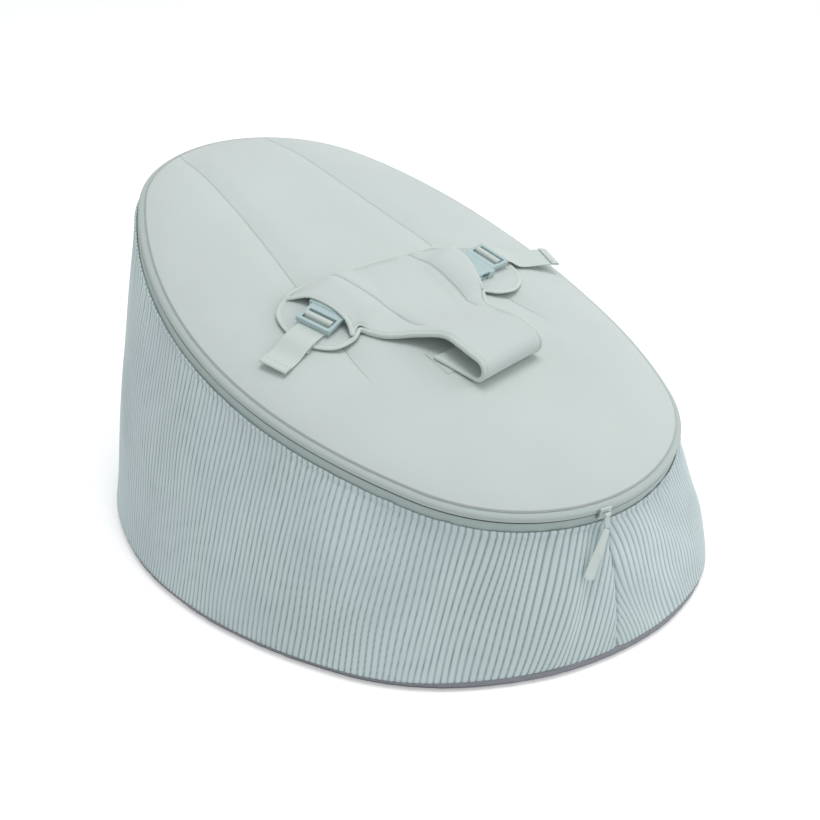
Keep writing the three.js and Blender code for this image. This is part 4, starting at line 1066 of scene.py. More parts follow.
def add_seat():
    """The padded top, out to the roll of its edge under the zip's tape."""
    turns = even_turns(rim, 2.5)
    rows = 1 - (1 - np.linspace(0.002, 1, 150)) ** 1.5
    x_rim, y_rim = rim.at(turns, -SEAM_INSET)
    x, y = rows[:, None] * x_rim, rows[:, None] * y_rim
    rim_fade = 1 - smoothstep(rows[:, None] + 0 * x, 0.95, 1.0)
    height = cover_rise(rim_share(x, y)) - dip(y)
    height += (seat_form(x, y) + crease_depth(x, y)) * lerp(0.2, 1, rim_fade)
    height += (SEAT_EDGE_HEIGHT - dip(y[-1]) - height[-1]) * rows[:, None] ** 24
    pucker = field(ring(rim, turns, 0, 0)[:, :2], 7, 53) * 0.14
    roll_rows = []
    for step, drop in SEAT_ROLL:
        edge_x, edge_y = rim.at(turns, step - SEAM_INSET + pucker)
        roll_rows.append(np.stack([edge_x, edge_y, height[-1] + drop], -1))
    every = np.concatenate([np.stack([x, y, height], -1), roll_rows])
    # edge falls from 1 on the panel to 0 at its seam and on its roll, where the seat's material paints
    # shade.
    edge = smoothstep((1 - rows) * RIM_HALF_WIDTH, -0.4, 1.3)
    edge = np.concatenate([edge, np.zeros(len(SEAT_ROLL))])[:, None] * np.ones(len(turns))
    values = {"cover_x": every[..., 0], "cover_y": every[..., 1], "edge": edge}
    form = {"cloth": wrapped(every)[..., :2], "values": values, "inside": (0, 0, 100), "fill": 0.8}
    add_body("seat_cover_top", to_part(every), SEAT, "seat_fabric", "seat_cover", "seat_panel", **form)


add_seat()


# Under the cover: wadding, inner bag, its closure and the beads

LINER_DROP = COVER_THICKNESS + GAP + WADDING_THICKNESS + GAP
CLOSURE = (212, 30)
BAG_SHOULDER = (-12, -18)
BAG_SLACK = 1.5
BAG_WALL_SHARES = np.linspace(0.12, 0.94, 18)
inner_turns = even_turns(rim, 7)


def under_cover(drop, inset, seed, rough):
    """Rows of a soft face that lies under the cover by a drop, sunk below the darts."""
    x, y = rim.at(inner_turns, -inset)
    shares = np.concatenate([np.linspace(0.004, 0.9, 26), np.linspace(0.92, 1, 8)])[:, None]
    x, y = x * shares, y * shares
    places = np.stack([x, y], -1)
    distance, left = dart_distance(x, y)
    lift = lumps(places, seed, (34, rough), (13, rough * 0.4)) - left * sewn(distance, (4.2, 22))
    height = cover_rise(rim_share(x, y)) - dip(y) - drop + lift
    return np.stack([x, y, height], -1)


def bag(inset, seed, rough):
    """Rows of a soft body that fills the space inside the wall and the cover."""
    rim_rows = 4
    dome = under_cover(LINER_DROP + inset, WADDING_INSET + inset, seed, rough)[:-rim_rows]
    dome = to_part(dome)
    shoulder = to_part(rim_point(inner_turns, BAG_SHOULDER[0] - inset, BAG_SHOULDER[1]))
    wall_inset = PANEL_THICKNESS + GAP + BAG_SLACK + inset
    walls = [wall_point(inner_turns, share + 0 * inner_turns, wall_inset) for share in BAG_WALL_SHARES]
    floor = BASE_THICKNESS + 2 * GAP + inset
    foot = ring(footprint, inner_turns, -BASE_TURN_IN - floor, floor, BASE_WIDEST_Y)
    middle = np.array([0, BASE_WIDEST_Y, floor])
    rows = np.array([*dome, shoulder, *walls, foot, lerp(middle, foot, 0.5), lerp(middle, foot, 0.004)])
    fold = field(rows, (40, 40, 120), seed + 5)
    inward = -np.abs(fold) * rough * 2 * smoothstep(rows[..., 2], 6, 40)
    below = slice(len(dome), -2)
    rows[below] += outward_of(inner_turns) * inward[below, :, None]
    return rows


def add_closure():
    """The strip that closes the inner bag's fill opening, with its ridge and two seams."""
    length, width = CLOSURE
    places = np.stack(np.meshgrid(np.linspace(-length / 2, length / 2, 90),
        np.linspace(-width / 2, width / 2, 17)), -1)
    y = places[..., 1]
    seam_y, rise = 11, 1.3
    ridge = sewn(y, (0.7, 1.6)) + sewn(np.abs(y) - seam_y, (0.35, 1.2))
    lift = -LINER_DROP + rise + ridge + lumps(places, 75, (20, 0.3))
    obj = add_grid("fill_closure", on_seat(places, lift))
    finish_piece(obj, LINER, "base", "liner_closure")


wadding_top = under_cover(drop=3.4, inset=WADDING_INSET, seed=61, rough=0.25)
wadding_under = under_cover(drop=8.4, inset=WADDING_INSET, seed=63, rough=0.5)
wadding = to_part(np.concatenate([wadding_top, wadding_under[::-1]]))
add_body("wadding_layer", wadding, WADDING, "wadding", "seat_cover", "seat_wadding", fill=0.5)
bag_rows = bag(inset=0.4, seed=71, rough=0.8)
add_body("inner_bag", bag_rows, LINER, "liner_fabric", "base", "liner_bag", fill=0.8)
add_closure()
bead_rows = bag(inset=3.2, seed=81, rough=0.6)
add_body("bead_mass", bead_rows, BEADS, "beads", "base", "bead_fill", fill=0.8)


# Harness outline, in the cover's plane

# Columns of the T: the back edge and the front edge, as shares of the half span and the depth.
# The stem's three columns get their front ends below.
HARNESS_SHARES = [[-0.965, 0.04, -0.965, -0.09], [-0.92, 0.15, -0.92, -0.21],
    [-0.8, 0.23, -0.815, -0.285], [-0.66, 0.256, -0.667, -0.275], [-0.53, 0.268, -0.565, -0.22],
    [-0.47, 0.273, -0.503, -0.288], [-0.408, 0.278, -0.449, -0.35], [-0.354, 0.281, -0.374, -0.405],
    [-0.286, 0.284, -0.299, -0.463], [-0.163, 0.287, -0.2, -0.6], [-0.068, 0.287, 0, 0],
    [0.109, 0.287, 0, 0], [0.272, 0.287, 0, 0], [0.354, 0.284, 0.365, -0.575],
    [0.422, 0.281, 0.395, -0.413], [0.503, 0.275, 0.476, -0.288], [0.578, 0.269, 0.551, -0.213],
    [0.667, 0.256, 0.66, -0.263], [0.803, 0.225, 0.803, -0.269], [0.932, 0.144, 0.932, -0.188],
    [0.986, 0.04, 0.986, -0.075]]
harness_sizes = np.array([HARNESS_HALF_SPAN, HARNESS_DEPTH])
harness_backs = np.array([row[:2] for row in HARNESS_SHARES]) * harness_sizes
harness_fronts = np.array([row[2:] for row in HARNESS_SHARES]) * harness_sizes
stem_middle_x = (STEM_LEFT_X + STEM_RIGHT_X) / 2
STEM_COLUMNS = {10: 0, 11: 0.5, 12: 1}
for column, share in STEM_COLUMNS.items():
    stem_x = lerp(STEM_LEFT_X, STEM_RIGHT_X, share)
    harness_fronts[column] = (stem_x, STEM_END_Y + STEM_END_SKEW * (stem_x - stem_middle_x))
FINE = 8
outline_points = np.concatenate([harness_fronts[10::-1], harness_backs, harness_fronts[:11:-1]])
outline = spline(outline_points, FINE)
left_front = outline[10 * FINE :: -1]
back_line = outline[11 * FINE : 31 * FINE + 1]
right_front = outline[32 * FINE :][::-1]
stem_end = np.linspace(left_front[-1], right_front[0], 2 * FINE + 1)[1:-1]
front_line = np.concatenate([left_front, stem_end, right_front])
column_numbers = np.arange(len(back_line))


def stem_rise(y):
    return STEM_RISE * smoothstep(STEM_RISE_START_Y - y, 0, STEM_RISE_START_Y - STEM_END_Y)


def harness_lift(x, y):
    """Lift of the lower panel's underside over the seat."""
    return GAP + PAD_RISE * smoothstep(np.abs(x), PAD_START_X, PAD_FULL_X) + stem_rise(y)


PAD_TOP = GAP + PAD_RISE + HARNESS_LAYER


class Buckle:
    """A buckle's own frame: its mouth at 0, X along the strap, Z off the seat."""

    def __init__(self, mouth, turn, pad_reach, tail_length):
        self.mouth = np.array(mouth, float)
        turn = math.radians(turn)
        self.along = np.array([math.cos(turn), math.sin(turn)])
        self.aside = np.array([-self.along[1], self.along[0]])
        self.pad_reach = pad_reach
        self.tail_length = tail_length
        fall = self.seat_at(-SOCKET_LENGTH)[2] - self.seat_at(SOCKET_LENGTH)[2]
        rise = self.seat_at(0, WEBBING_WIDTH)[2] - self.seat_at(0, -WEBBING_WIDTH)[2]
        pitch = math.atan2(fall, 2 * SOCKET_LENGTH)
        roll = math.atan2(rise, 2 * WEBBING_WIDTH)
        about_z, about_y, about_x = (
            Matrix.Rotation(angle, 3, axis) for angle, axis in ((turn, "Z"), (pitch, "Y"), (roll, "X")))
        self.turned = np.array(about_z @ about_y @ about_x)
        self.origin = self.seat_at(0) + (0, 0, PAD_TOP + GAP)
        self.top = self.origin + self.turned[:, 2] * (SOCKET_HEIGHT + 2 * GAP)

    def seat_at(self, distance, side=0.0):
        x, y = self.mouth + self.along * distance + self.aside * side
        return np.array([x, y, float(seat_height(x, y))])

    def on_seat(self, distance, lift):
        """[x, z] in the buckle's frame of a point over the seat, along the strap."""
        local = (self.seat_at(distance) + (0, 0, lift) - self.origin) @ self.turned
        return local[0], local[2]

    def top_at(self, x, y):
        off = self.turned[:, 2]
        return self.top[2] - (off[0] * (x - self.top[0]) + off[1] * (y - self.top[1])) / off[2]

    def place(self, points):
        return to_part(self.origin + np.asarray(points, float) @ self.turned.T)


buckles = {"left": Buckle((-97, -4), turn=201, pad_reach=47.5, tail_length=96),
    "right": Buckle((106, 4), turn=11, pad_reach=33.5, tail_length=108)}


def upper_lift(x, y):
    """The upper panel lies over the padding and domes softly over the sockets."""
    flat = harness_lift(x, y) + HARNESS_LAYER + GAP + HARNESS_PADDING + GAP
    total = flat
    dome_flat, dome_end = 22, 46
    for side, sign, start, full in (("left", -1, 24, 73), ("right", 1, 32, 79)):
        buckle = buckles[side]
        off = np.abs((x - buckle.mouth[0]) * buckle.aside[0] + (y - buckle.mouth[1]) * buckle.aside[1])
        share = (1 - smoothstep(off, dome_flat, dome_end)) * smoothstep(sign * x, start, full)
        domed = lerp(flat, buckle.top_at(x, y) - seat_height(x, y), share)
        total = np.where(sign * x > 0, domed, total)
    return total


# X of the wings' open ends, at even steps from the back edge to the front edge
POCKET_MARKS = {"left": (-117, -103, -95.5, -91.5, -91.5, -96), "right": (83, 90, 91, 87, 81, 76)}


def pocket_edge_x(side, row):
    """Where the wing's open end lies, from the back edge (row 0) to the front edge (row 1)."""
    marks = POCKET_MARKS[side]
    return np.polyval(np.polyfit(np.linspace(0, 1, len(marks)), marks, 4), row)


def stack_share(x, y):
    """1 where the upper panel lies over the lower one, 0 on the pads beyond the wings."""
    row = np.where(y > 0, 0.0, 1.0)
    beyond, within = -7, 5
    left, right = x - pocket_edge_x("left", row), pocket_edge_x("right", row) - x
    return smoothstep(left, beyond, within) * smoothstep(right, beyond, within)


def column_places(numbers, row):
    return lerp(sample(back_line, numbers), sample(front_line, numbers), row)


def over(lift_at, places, rise=0.0):
    return on_seat(places, lift_at(places[..., 0], places[..., 1]) + rise)


ROWS = np.linspace(0, 1, 57)
lower_places = np.array([column_places(column_numbers, row) for row in ROWS])
lower_body = slab(over(harness_lift, lower_places, HARNESS_LAYER), over(harness_lift, lower_places))
add_body("harness_lower", lower_body, HARNESS, "harness_fabric", "harness", "harness_lower_panel", fill=0.3)

pad_numbers = np.linspace(9 * FINE, 13 * FINE, 40)
pad_places = np.array([column_places(pad_numbers, row) for row in np.linspace(0.07, 0.98, 30)])
pad_lift = HARNESS_LAYER + GAP
pad_low, pad_high = 0.1, 1.7
pad_top = over(harness_lift, pad_places, pad_lift + pad_high + lumps(pad_places, 91, (12, 0.15)))
pad_body = slab(pad_top, over(harness_lift, pad_places, pad_lift + pad_low))
add_body("harness_wadding", pad_body, WADDING, "wadding", "harness", "harness_padding", fill=0.5)

wing_seams = []
for points, curve in zip(WING_SEAMS, WING_CURVES):
    seam_y = np.linspace(points[0][1], points[-1][1], 50)
    wing_seams.append(np.stack([np.polyval(curve, seam_y), seam_y], -1))


def seam_distance(places):
    """Distance to the nearer wing seam."""
    flat = places.reshape(-1, 2)
    nearest = np.full(len(flat), 99.0)
    for line in wing_seams:
        nearest = np.minimum(nearest, np.linalg.norm(flat[:, None] - line[None], axis=-1).min(1))
    return nearest.reshape(places.shape[:-1])


def pocket_number(side, row):
    """The number of the column at the wing's open end, on a row."""
    line = lerp(back_line, front_line, row)
    return np.interp(pocket_edge_x(side, row), line[:, 0], column_numbers)


# How far the corners of the wings' open ends are drawn down
CORNER_DROP = 2.4


def add_upper():
    """The upper panel, with sunk wing seams and ends that lie open over the buckles."""
    columns = 150
    ends = [[pocket_number(side, row) for side in ("left", "right")] for row in ROWS]
    places = np.array([column_places(np.linspace(*end, columns), row) for end, row in zip(ends, ROWS)])
    x, y = places[..., 0], places[..., 1]
    from_middle = np.abs(2 * ROWS[:, None] - 1)
    crown = 1.3 * (1 - from_middle**6)
    soft = lumps(places, 93, (42, 0.35), (16, 0.1))
    sunk = sewn(seam_distance(places), (1.0, 4.5), (0.5, 1.6))
    corner = bell(np.minimum(x - x[:, :1], x[:, -1:] - x), 15) * from_middle**4
    end_crown = 1 - smoothstep(-y, 60, 90)
    puffed = (crown + soft - sunk - CORNER_DROP * corner) * end_crown
    lift = upper_lift(x, y) + HARNESS_LAYER + puffed
    body = slab(on_seat(places, lift), on_seat(places, lift - HARNESS_LAYER))
    form = {"values": {}, "fill": 0.5}
    for key, flat in (("cover_x", x), ("cover_y", y)):
        flat = np.concatenate([flat[:1], flat, flat[-1:]])
        form["values"][key] = np.concatenate([flat[:, :1], flat, flat[:, -1:], flat[:, ::-1]], 1)
    add_body("harness_upper", body, SEAMED, "harness_fabric", "harness", "harness_upper_panel", **form)


add_upper()


def add_binding():
    """The bound edge round the T, flatter on the pads. Gives its line and the way out of it."""
    line = sample(outline, even(outline, 1.6))
    x, y = line.T
    out = square_to(tangents_of(line))
    middle = (16.0, -10.0)
    if np.sum(out * (line - middle)) < 0:
        out = -out
    full = stack_share(x, y)
    swell = field(line, 24, 95) * 0.12
    on_pad_and_wing = ((0.9, 2.3), (0.6, 2.7), (1.45, 2.9), (2.7, 2.4))
    step, lift, high, wide = (lerp(*pair, full) for pair in on_pad_and_wing)
    points, off = seat_line(line + out * step[:, None], harness_lift(x, y) + lift)
    body = tube(points, off, high + swell, wide + swell)
    add_body("harness_edge", body, EDGING, "harness_fabric", "harness", "harness_binding", fill=0.7)
    return line, out


edge_line, edge_out = add_binding()


def add_pocket_edge(side, sign):
    """The bound edge of the wing's open end, over the buckle."""
    rows = np.linspace(0.01, 0.99, 90)
    places = np.array([column_places([pocket_number(side, row)], row)[0] for row in rows])
    corner = np.abs(2 * rows - 1) ** 4 * CORNER_DROP
    outset, rise, high, wide = 0.8, 0.8, 1.6, 2.4
    points, off = seat_line(places + (sign * outset, 0), upper_lift(*places.T) + rise - corner)
    name, node = f"pocket_edge_{side}", f"pocket_binding_{side}"
    add_body(name, tube(points, off, high, wide), EDGING, "harness_fabric", "harness", node, fill=0.7)
    stitch_inset, stitch_rise = 3.6, 0.9
    inner = places - (sign * stitch_inset, 0)
    points, off = seat_line(inner, upper_lift(*inner.T) + HARNESS_LAYER + stitch_rise - corner)
    add_stitches(f"pocket_stitches_{side}", points[5:-5], off[5:-5], "harness_fabric", "harness")


add_pocket_edge("left", -1)
add_pocket_edge("right", 1)


# Crotch strap and the patch that holds it


def stem_top(y):
    """Lift of the harness stem's upper face over the seat."""
    return GAP + stem_rise(y) + 2 * HARNESS_LAYER + HARNESS_PADDING + 2 * GAP


def add_crotch():
    """The strap that curls up from the patch into the harness's stem, with bound edges."""
    low = GAP + PATCH_THICKNESS + CROTCH_THICKNESS / 2
    radius = (CURL_TOP - CROTCH_THICKNESS / 2 - low) / 2
    end_lift = stem_top(STEM_END_Y) + 0.3 - 2.6
    line = [(CROTCH_ROOT_Y, low), ((CROTCH_ROOT_Y + CURL_Y) / 2, low)]
    for a in np.linspace(0, math.pi, 25):
        line.append((CURL_Y - radius * math.sin(a), low + radius * (1 - math.cos(a))))
    line.append(((STEM_END_Y + CURL_Y) / 2, end_lift + 0.2))
    inside_stem = (-122, STEM_END_Y, -112, -107, -102, -97, -94)
    line += [(y, end_lift) for y in inside_stem]
    line = rounded(line)
    line = sample(line, even(line, 1.5))
    way = line[:, 0]
    number = np.arange(len(line))
    travel = number / (len(line) - 1)
    turned = number > np.argmin(way)
    beyond = np.where(turned, smoothstep(way, STEM_END_Y - 3, -96), 0)
    normal = np.pad(square_to(tangents_of(line)), ((0, 0), (1, 0)))
    thick = lerp(lerp(3.8, 5.2, smoothstep(travel, 0.4, 0.75)), 1.6, beyond)
    curled = np.where(turned, 1, np.clip((CROTCH_ROOT_Y - way) / (CROTCH_ROOT_Y - CURL_Y), 0, 1))
    joined = np.where(turned, smoothstep(way, CURL_Y, STEM_END_Y - 6), 0)
    skew = lerp(CURL_SKEW, STEM_END_SKEW, joined)
    left_x = lerp(CROTCH_ROOT_LEFT_X, STEM_LEFT_X, curled)
    on_stem = np.where(turned & (way > STEM_END_Y - 5), 1.0, 0.0)
    columns = 45
    x = lerp(left_x[:, None], STEM_RIGHT_X, np.linspace(0, 1, columns))
    y = way[:, None] + skew[:, None] * (x - stem_middle_x)
    follow = stem_top(np.maximum(y, STEM_END_Y)) + (0.3 - 0.9 * beyond - thick / 2)[:, None]
    lift = lerp(line[:, 1:], follow, on_stem[:, None])
    middle = np.stack([x, y, seat_height(x, y) + lift], -1)
    reach = (normal * thick[:, None] / 2)[:, None]
    outer, inner = middle + reach, middle - reach
    outer[..., 2] += field(outer[..., :2], (30, 12), 101) * 0.12 * (1 - beyond[:, None])
    body = slab(to_part(inner), to_part(outer))
    pieces = [add_body("crotch_band", body, HARNESS, "harness_fabric", None, "crotch_strap", fill=0.5)]
    keep = ~(turned & (way > STEM_END_Y + 1))
    high = lerp(2.3, 2.9, smoothstep(travel[keep], 0.4, 0.75))
    for side, column, sign in (("left", 0, -1), ("right", -1, 1)):
        edge = ((outer[:, column] + inner[:, column]) / 2 + (sign * 2.2, 0, 0))[keep]
        points = to_part(edge)
        body = tube(points, to_part(edge + normal[keep]) - points, high, 2.4)
        name = f"crotch_edge_{side}"
        pieces.append(add_body(name, body, EDGING, "harness_fabric", None, None, fill=0.7))
    for obj in pieces:
        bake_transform(obj)


add_crotch()


def add_patch():
    """The patch that holds the crotch strap, sewn round its border."""
    left, right, front, back = PATCH

    def skewed(places):
        return places + (0, STEM_END_SKEW) * (places[..., :1] - stem_middle_x)

    places = skewed(np.stack(np.meshgrid(np.linspace(left, right, 60), np.linspace(back, front, 24)), -1))
    obj = add_grid("crotch_patch_cloth", on_seat(places, 0.9 + field(places, 20, 103) * 0.08))
    finish_piece(obj, HARNESS, "seat_cover", "crotch_patch")
    inset = 2.5
    left, right, front, back = np.array(PATCH) + (inset, -inset, inset, -inset)
    border = np.array([(left, back), (right, back), (right, front), (left, front), (left, back)])
    points, off = seat_line(sample(skewed(border), np.linspace(0, 4, 240)), 0.95)
    add_stitches("crotch_patch_stitches", points, off, "seat_fabric", "seat_cover", length=2.3, radius=0.25)


add_patch()


# Stitches of the harness


def add_edge_stitches():
    """Threads inside the binding, in runs that end where the wings do."""
    inset, shortest, spare = 2.6, 12, 3
    inner = edge_line - edge_out * inset
    x, y = inner.T
    top = np.where(stack_share(x, y) > 0.5, upper_lift(x, y) + 0.35, harness_lift(x, y)) + HARNESS_LAYER
    points, off = seat_line(inner, top)
    stacked = stack_share(*edge_line.T) > 0.98
    turns = np.flatnonzero(np.diff(stacked.astype(int))) + 1
    starts = [0, *turns, len(stacked)]
    for number, (start, end) in enumerate(zip(starts[:-1], starts[1:])):
        if end - start >= shortest:
            run = slice(start + spare, end - spare)
            add_stitches(f"harness_stitches_{number}", points[run], off[run], "harness_fabric", "harness")


add_edge_stitches()

WING_STITCH_ASIDE = 1.9
WING_STITCH_RISE = 0.75
for number, (line, sign) in enumerate(zip(wing_seams, (1, -1))):
    places = line[2:-3] + (sign * WING_STITCH_ASIDE, 0)
    points, off = seat_line(places, upper_lift(*places.T) + HARNESS_LAYER + WING_STITCH_RISE)
    add_stitches(f"wing_stitches_{number}", points, off, "harness_fabric", "harness", radius=0.2)


# Webbing


def webbing_body(buckle, line, sway=0.0):
    """A flat strap with round edges along a line [x, z] of a buckle's frame. Beyond the clip it
    turns aside by the angle sway."""
    line = np.asarray(line, float)
    line = sample(line, even(line, 1.0))
    tangent = tangents_of(line)
    normal = np.pad(square_to(tangent), ((1, 1), (0, 0)))
    first, last = line[:1] - tangent[:1] * HALF_WEB, line[-1:] + tangent[-1:] * HALF_WEB
    line = np.concatenate([first, line, last])
    inner = WEBBING_WIDTH / 2 - HALF_WEB
    flat = np.linspace(-inner, inner, 13)
    arc = np.linspace(-math.pi / 2, math.pi / 2, 5)[1:-1]
    edge, fall = inner + HALF_WEB * np.cos(arc), HALF_WEB * np.sin(arc)
    aside = np.concatenate([flat, edge, flat[::-1], -edge])
    rise = np.concatenate([0 * flat + HALF_WEB, -fall, 0 * flat - HALF_WEB, fall])
    x, z = line[:, :1] + normal[:, :1] * rise, line[:, 1:] + normal[:, 1:] * rise
    return buckle.place(swayed(np.stack([x, 0 * x + aside, z], -1), sway))


def swayed(points, sway):
    """Turns what lies beyond the clip aside, more and more over its first 24 mm."""
    angle = sway * smoothstep(points[..., 0], CLIP_END - 4, CLIP_END + 24)
    c, s = np.cos(angle), np.sin(angle)
    x, y, z = points[..., 0] - CLIP_END, points[..., 1], points[..., 2]
    return np.stack([x * c - y * s + CLIP_END, x * s + y * c, z], -1)


SEAT_SEAM_X = 101
HALF_WEB = WEBBING_THICKNESS / 2
LADDER_PITCH = LADDER_SLOT + LADDER_BAR
CLIP_END = LADDER_START + 2 * LADDER_PITCH
PAD_SPREAD = 5.5
BINDING_REACH = GAP + 2 * BINDING_RADIUS
PAD_BINDING_LIFT = WEBBING_THICKNESS + GAP + BINDING_RADIUS - PAD_RISE
BINDING_TOP = GAP + PAD_RISE + PAD_BINDING_LIFT + BINDING_RADIUS
LOAD_ON_PAD = PAD_TOP + GAP + HALF_WEB
LOAD_OVER = BINDING_TOP + GAP + HALF_WEB - 1.1
TAIL_OVER = LOAD_OVER + WEBBING_THICKNESS + GAP + 1.1
TAIL_LOW = 1.2 + HALF_WEB


def add_tail(side, buckle, end_rise, sway):
    """The loose webbing: round the first bar, out under the clip, over the pad's edge and down
    to the seat, with its end folded back and sewn."""
    leg_in = LADDER_START + LADDER_SLOT - GAP - HALF_WEB
    leg_out = LADDER_START + LADDER_PITCH + GAP + HALF_WEB
    under_clip = CLIP_BOTTOM - GAP - HALF_WEB
    half = (leg_out - leg_in) / 2
    held = [(leg_in, CLIP_BOTTOM)]
    loop_start, loop_rise = CLIP_BOTTOM + CLIP_HEIGHT - 0.6, 2.1
    for a in np.linspace(0, math.pi, 19):
        held.append((leg_in + half * (1 - math.cos(a)), loop_start + loop_rise * math.sin(a)))
    pad_end = buckle.pad_reach + PAD_SPREAD + BINDING_REACH
    held += [(leg_out, under_clip), (CLIP_END, under_clip),
        buckle.on_seat(buckle.pad_reach - GAP, TAIL_OVER), buckle.on_seat(pad_end + GAP, TAIL_OVER)]
    landing, end = pad_end + 14, buckle.tail_length
    reaches = np.linspace(landing, end, 9)
    lifts = TAIL_LOW + end_rise * smoothstep(reaches, landing, end)
    laid = [buckle.on_seat(reach, lift) for reach, lift in zip(reaches, lifts)]
    slope = (lifts[-1] - lifts[-2]) / (reaches[-1] - reaches[-2])
    fold = 1.35

    def hem(back, rise):
        return buckle.on_seat(end - back, lifts[-1] - slope * back + rise)

    path = np.concatenate([rounded(held), rounded(laid, 1)])
    path = sample(path, even(path, 1.0))
    loose = path[:, :1] > CLIP_END + 6
    smoothings = 60
    for _ in range(smoothings):
        eased = path.copy()
        eased[1:-1] = (path[:-2] + 2 * path[1:-1] + path[2:]) / 4
        path = np.where(loose, eased, path)
    turn = buckle.on_seat(end + 0.8, lifts[-1] + fold / 2)
    line = np.concatenate([path, [turn, hem(0, fold), hem(HEM_LENGTH, fold)]])
    body = webbing_body(buckle, line, sway)
    add_body(f"webbing_tail_{side}", body, WEBBING, "webbing", f"{side}_clip", f"strap_tail_{side}")
    hem_x, hem_z = hem(HEM_LENGTH - 2, fold + HALF_WEB + 0.1)
    half_row = 13
    across = np.linspace(-half_row, half_row, 40)
    rows = [np.stack([0 * across + hem_x, across, 0 * across + z], -1) for z in (hem_z, hem_z + 1)]
    row, above = (buckle.place(swayed(places, sway)) for places in rows)
    thread = {"pitch": 2.6, "length": 1.9, "radius": 0.25}
    add_stitches(f"tail_stitches_{side}", row, above - row, "webbing", f"{side}_clip", **thread)


def add_load_strap(side, buckle):
    """The webbing from the seat's seam, up round the pad's edge and in under the clip."""
    seam = (SEAT_SEAM_X - abs(buckle.mouth[0])) / abs(buckle.along[0])
    pad = buckle.pad_reach
    turn = pad + PAD_SPREAD + BINDING_REACH + GAP + HALF_WEB
    low = GAP + HALF_WEB
    route = [(seam, low), ((seam + pad) / 2, low), (pad, low), (turn, low + WEBBING_THICKNESS),
        (turn + WEBBING_THICKNESS, (low + LOAD_OVER) / 2), (turn, LOAD_OVER - WEBBING_THICKNESS),
        (turn - WEBBING_THICKNESS - GAP, LOAD_OVER), (pad + GAP, LOAD_OVER),
        (max(pad - BINDING_REACH, CLIP_END), LOAD_ON_PAD)]
    line = [*(buckle.on_seat(*place) for place in route), (LADDER_START + 2, HALF_WEB)]
    body = webbing_body(buckle, rounded(line))
    obj = add_body(f"load_webbing_{side}", body, WEBBING, "webbing", None, f"load_strap_{side}")
    ends = [buckle.on_seat(turn, lift) for lift in (low + 0.6, LOAD_OVER - 0.3)]
    start, end = buckle.place([(x, 0, z) for x, z in ends]) * MM
    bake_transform(obj)


def add_socket_tab(side, buckle):
    """The short webbing that holds the socket to the wing, round the socket's bar."""
    tab_end = -40
    leg = -SOCKET_LENGTH - SOCKET_BAR_REACH + GAP + HALF_WEB
    low = SOCKET_WALL - GAP - HALF_WEB
    high = SOCKET_HEIGHT - SOCKET_WALL + GAP + HALF_WEB
    body = webbing_body(buckle, rounded([(tab_end, low), (leg, low), (leg, high), (tab_end, high)]))
    add_body(f"socket_webbing_{side}", body, WEBBING, "webbing", "harness", f"socket_tab_{side}")


# Buckles: the same sizes as the CAD's, with moulded edges


def add_clip(side, buckle):
    """The clip: a block, two ladder bars in a frame, a raised rib, two latch arms and a guide."""
    half, slot_half = 19.0, 15.5
    low, top = CLIP_BOTTOM, CLIP_BOTTOM + CLIP_HEIGHT
    first_bar = LADDER_START + LADDER_SLOT
    boxes = [((GAP, -half, low), (LADDER_START, half, top)),
        ((LADDER_START - 1, slot_half, low), (CLIP_END, half, top)),
        ((LADDER_START - 1, -half, low), (CLIP_END, -slot_half, top)),
        ((first_bar, -half, low + 0.3), (first_bar + LADDER_BAR, half, top - 0.7)),
        ((CLIP_END - LADDER_BAR, -half, low), (CLIP_END, half, top + 0.5)),
        ((2.4, 5 - half, top - 1), (6.4, half - 5, top + 0.45))]
    arm_half, arm_inner, arm_outer, head_outer = 1.7, 13.5, 16.5, 18.0
    low, top = SOCKET_HEIGHT / 2 - arm_half, SOCKET_HEIGHT / 2 + arm_half
    for sign in (-1, 1):
        near, far = sorted((sign * arm_inner, sign * arm_outer))
        head_near, head_far = sorted((sign * arm_inner, sign * head_outer))
        boxes.append(((-20.5, near, low), (4.5, far, top)))
        boxes.append(((-18, head_near, low), (-10, head_far, top)))
    boxes.append(((-15, -3, low), (4.5, 3, top)))
    obj = blocks(f"buckle_clip_{side}", boxes, buckle.place, voxel=0.42, soften=5)
    finish_piece(obj, BUCKLE, f"{side}_clip", f"clip_{side}")


def add_socket(side, buckle):
    """The socket: two faces, its walls with windows for the latches, a bar and a raised rib."""
    half, inner, wing = 23.0, 18.5, 21.4
    wall, top, back = SOCKET_WALL, SOCKET_HEIGHT, SOCKET_LENGTH
    bar_low, bar_top = 2.2, top - 2.2
    boxes = [((-back, -wing, 0), (0, wing, wall)), ((-back, -wing, top - wall), (0, wing, top)),
        ((-back, -20, 0), (3 - back, 20, top)), ((-9, inner, 0), (0, half, top)),
        ((-9, -half, 0), (0, -inner, top)), ((-back, inner, 0), (-19, wing, top)),
        ((-back, -wing, 0), (-19, -inner, top)),
        ((-back - 7, -19, bar_low), (-back - SOCKET_BAR_REACH, 19, bar_top)),
        ((-back - 7, -19, bar_low), (1 - back, -16, bar_top)),
        ((-back - 7, 16, bar_low), (1 - back, 19, bar_top)), ((-7, -15, top - 0.5), (-3, 15, top + 0.35))]
    obj = blocks(f"buckle_socket_{side}", boxes, buckle.place, voxel=0.5, soften=4)
    finish_piece(obj, BUCKLE, "harness", f"socket_{side}")


for side, end_rise, sway in (("left", 2.4, 0.0), ("right", 5.0, math.radians(-22))):
    buckle = buckles[side]
    add_clip(side, buckle)
    add_socket(side, buckle)
    add_tail(side, buckle, end_rise, sway)
    add_load_strap(side, buckle)
    add_socket_tab(side, buckle)


# Floor, light and camera


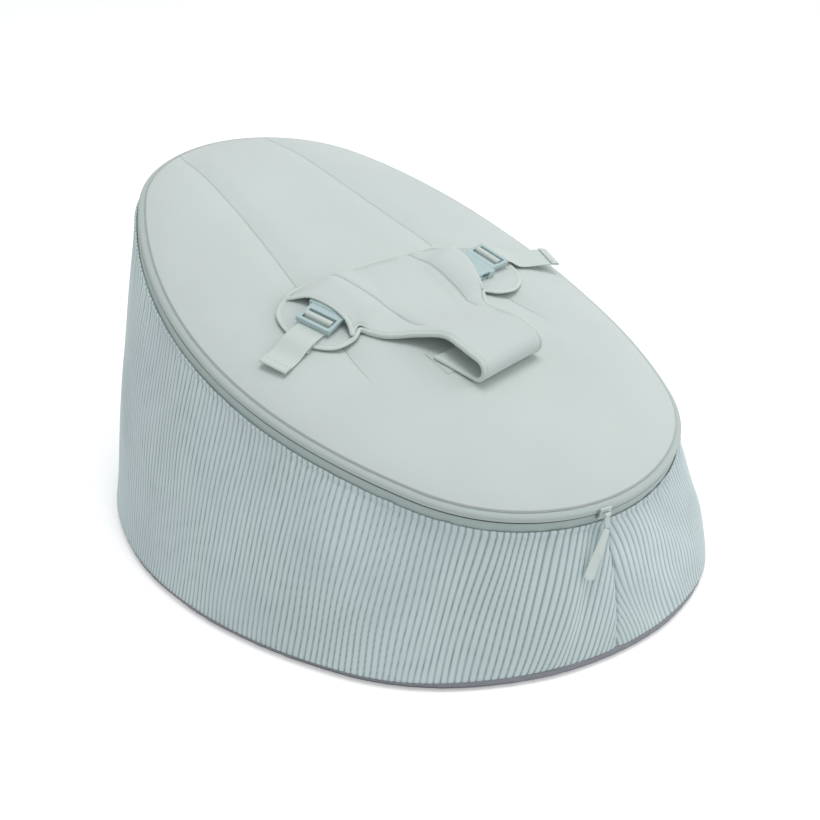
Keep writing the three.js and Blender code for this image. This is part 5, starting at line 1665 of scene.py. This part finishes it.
def add_floor():
    """A floor that looks white to the camera and still takes soft shadows."""
    size = 30000
    corners = [(-size, -size, 0), (size, -size, 0), (size, size, 0), (-size, size, 0)]
    floor = add_mesh("floor", corners, [range(4)])
    floor.location.z = -GAP * MM
    f = Finish("floor_white", Base_Color=(0.86, 0.865, 0.87, 1), Roughness=1.0, Specular_IOR_Level=0.0,
        Emission_Color=(1, 1, 1, 1))
    rays = f.node("LightPath")
    seen = f.math("MAXIMUM", rays["Is Camera Ray"], rays["Is Glossy Ray"])
    glow = 0.38
    f.put(f.shader.inputs, {"Emission_Strength": f.times(seen, glow)})
    floor.data.materials.append(f.material)


def aim(obj, place, target):
    """Puts a light or the camera at a place and points it at the target, in metres."""
    obj.location = place
    obj.rotation_euler = (Vector(target) - Vector(place)).to_track_quat("-Z", "Y").to_euler()


def add_light(name, place, target, energy):
    data = configured(bpy.data.lights.new(name, "AREA"), energy=energy, size=1.6)
    aim(link(bpy.data.objects.new(name, data)), place, target)


def add_world():
    """Soft light from all round, behind which the camera sees plain white."""
    world = bpy.data.worlds.new("studio")
    bpy.context.scene.world = world
    nodes = Nodes(world)
    nodes.tree.nodes.clear()
    rays = nodes.node("LightPath")
    seen = nodes.math("MAXIMUM", rays["Is Camera Ray"], rays["Is Glossy Ray"])
    seen = nodes.math("MAXIMUM", seen, rays["Is Transmission Ray"])
    ambient = nodes.node("Background", None, Color=(0.97, 0.985, 1.0, 1), Strength=0.6)[0]
    shown = nodes.node("Background", None, Color=(1, 1, 1, 1), Strength=1.0)[0]
    mixed = nodes.node("MixShader", None, i0=seen, i1=ambient, i2=shown)[0]
    nodes.node("OutputWorld", None, Surface=mixed)


add_floor()
add_world()
add_light("overhead", (0.1, -0.4, 3.3), (0, 0, 0.2), energy=37)
add_light("right_fill", (2.4, -1.3, 1.2), (0, 0, 0.15), energy=17)

lens = configured(bpy.data.cameras.new("camera"), lens=72.97, sensor_width=36)
camera = link(bpy.data.objects.new("camera", lens))
aim(camera, (-1.0075, -1.2296, 0.8781), (0, -0.029, 0.134))
bpy.context.scene.camera = camera
bpy.context.scene.view_settings.view_transform = "Standard"
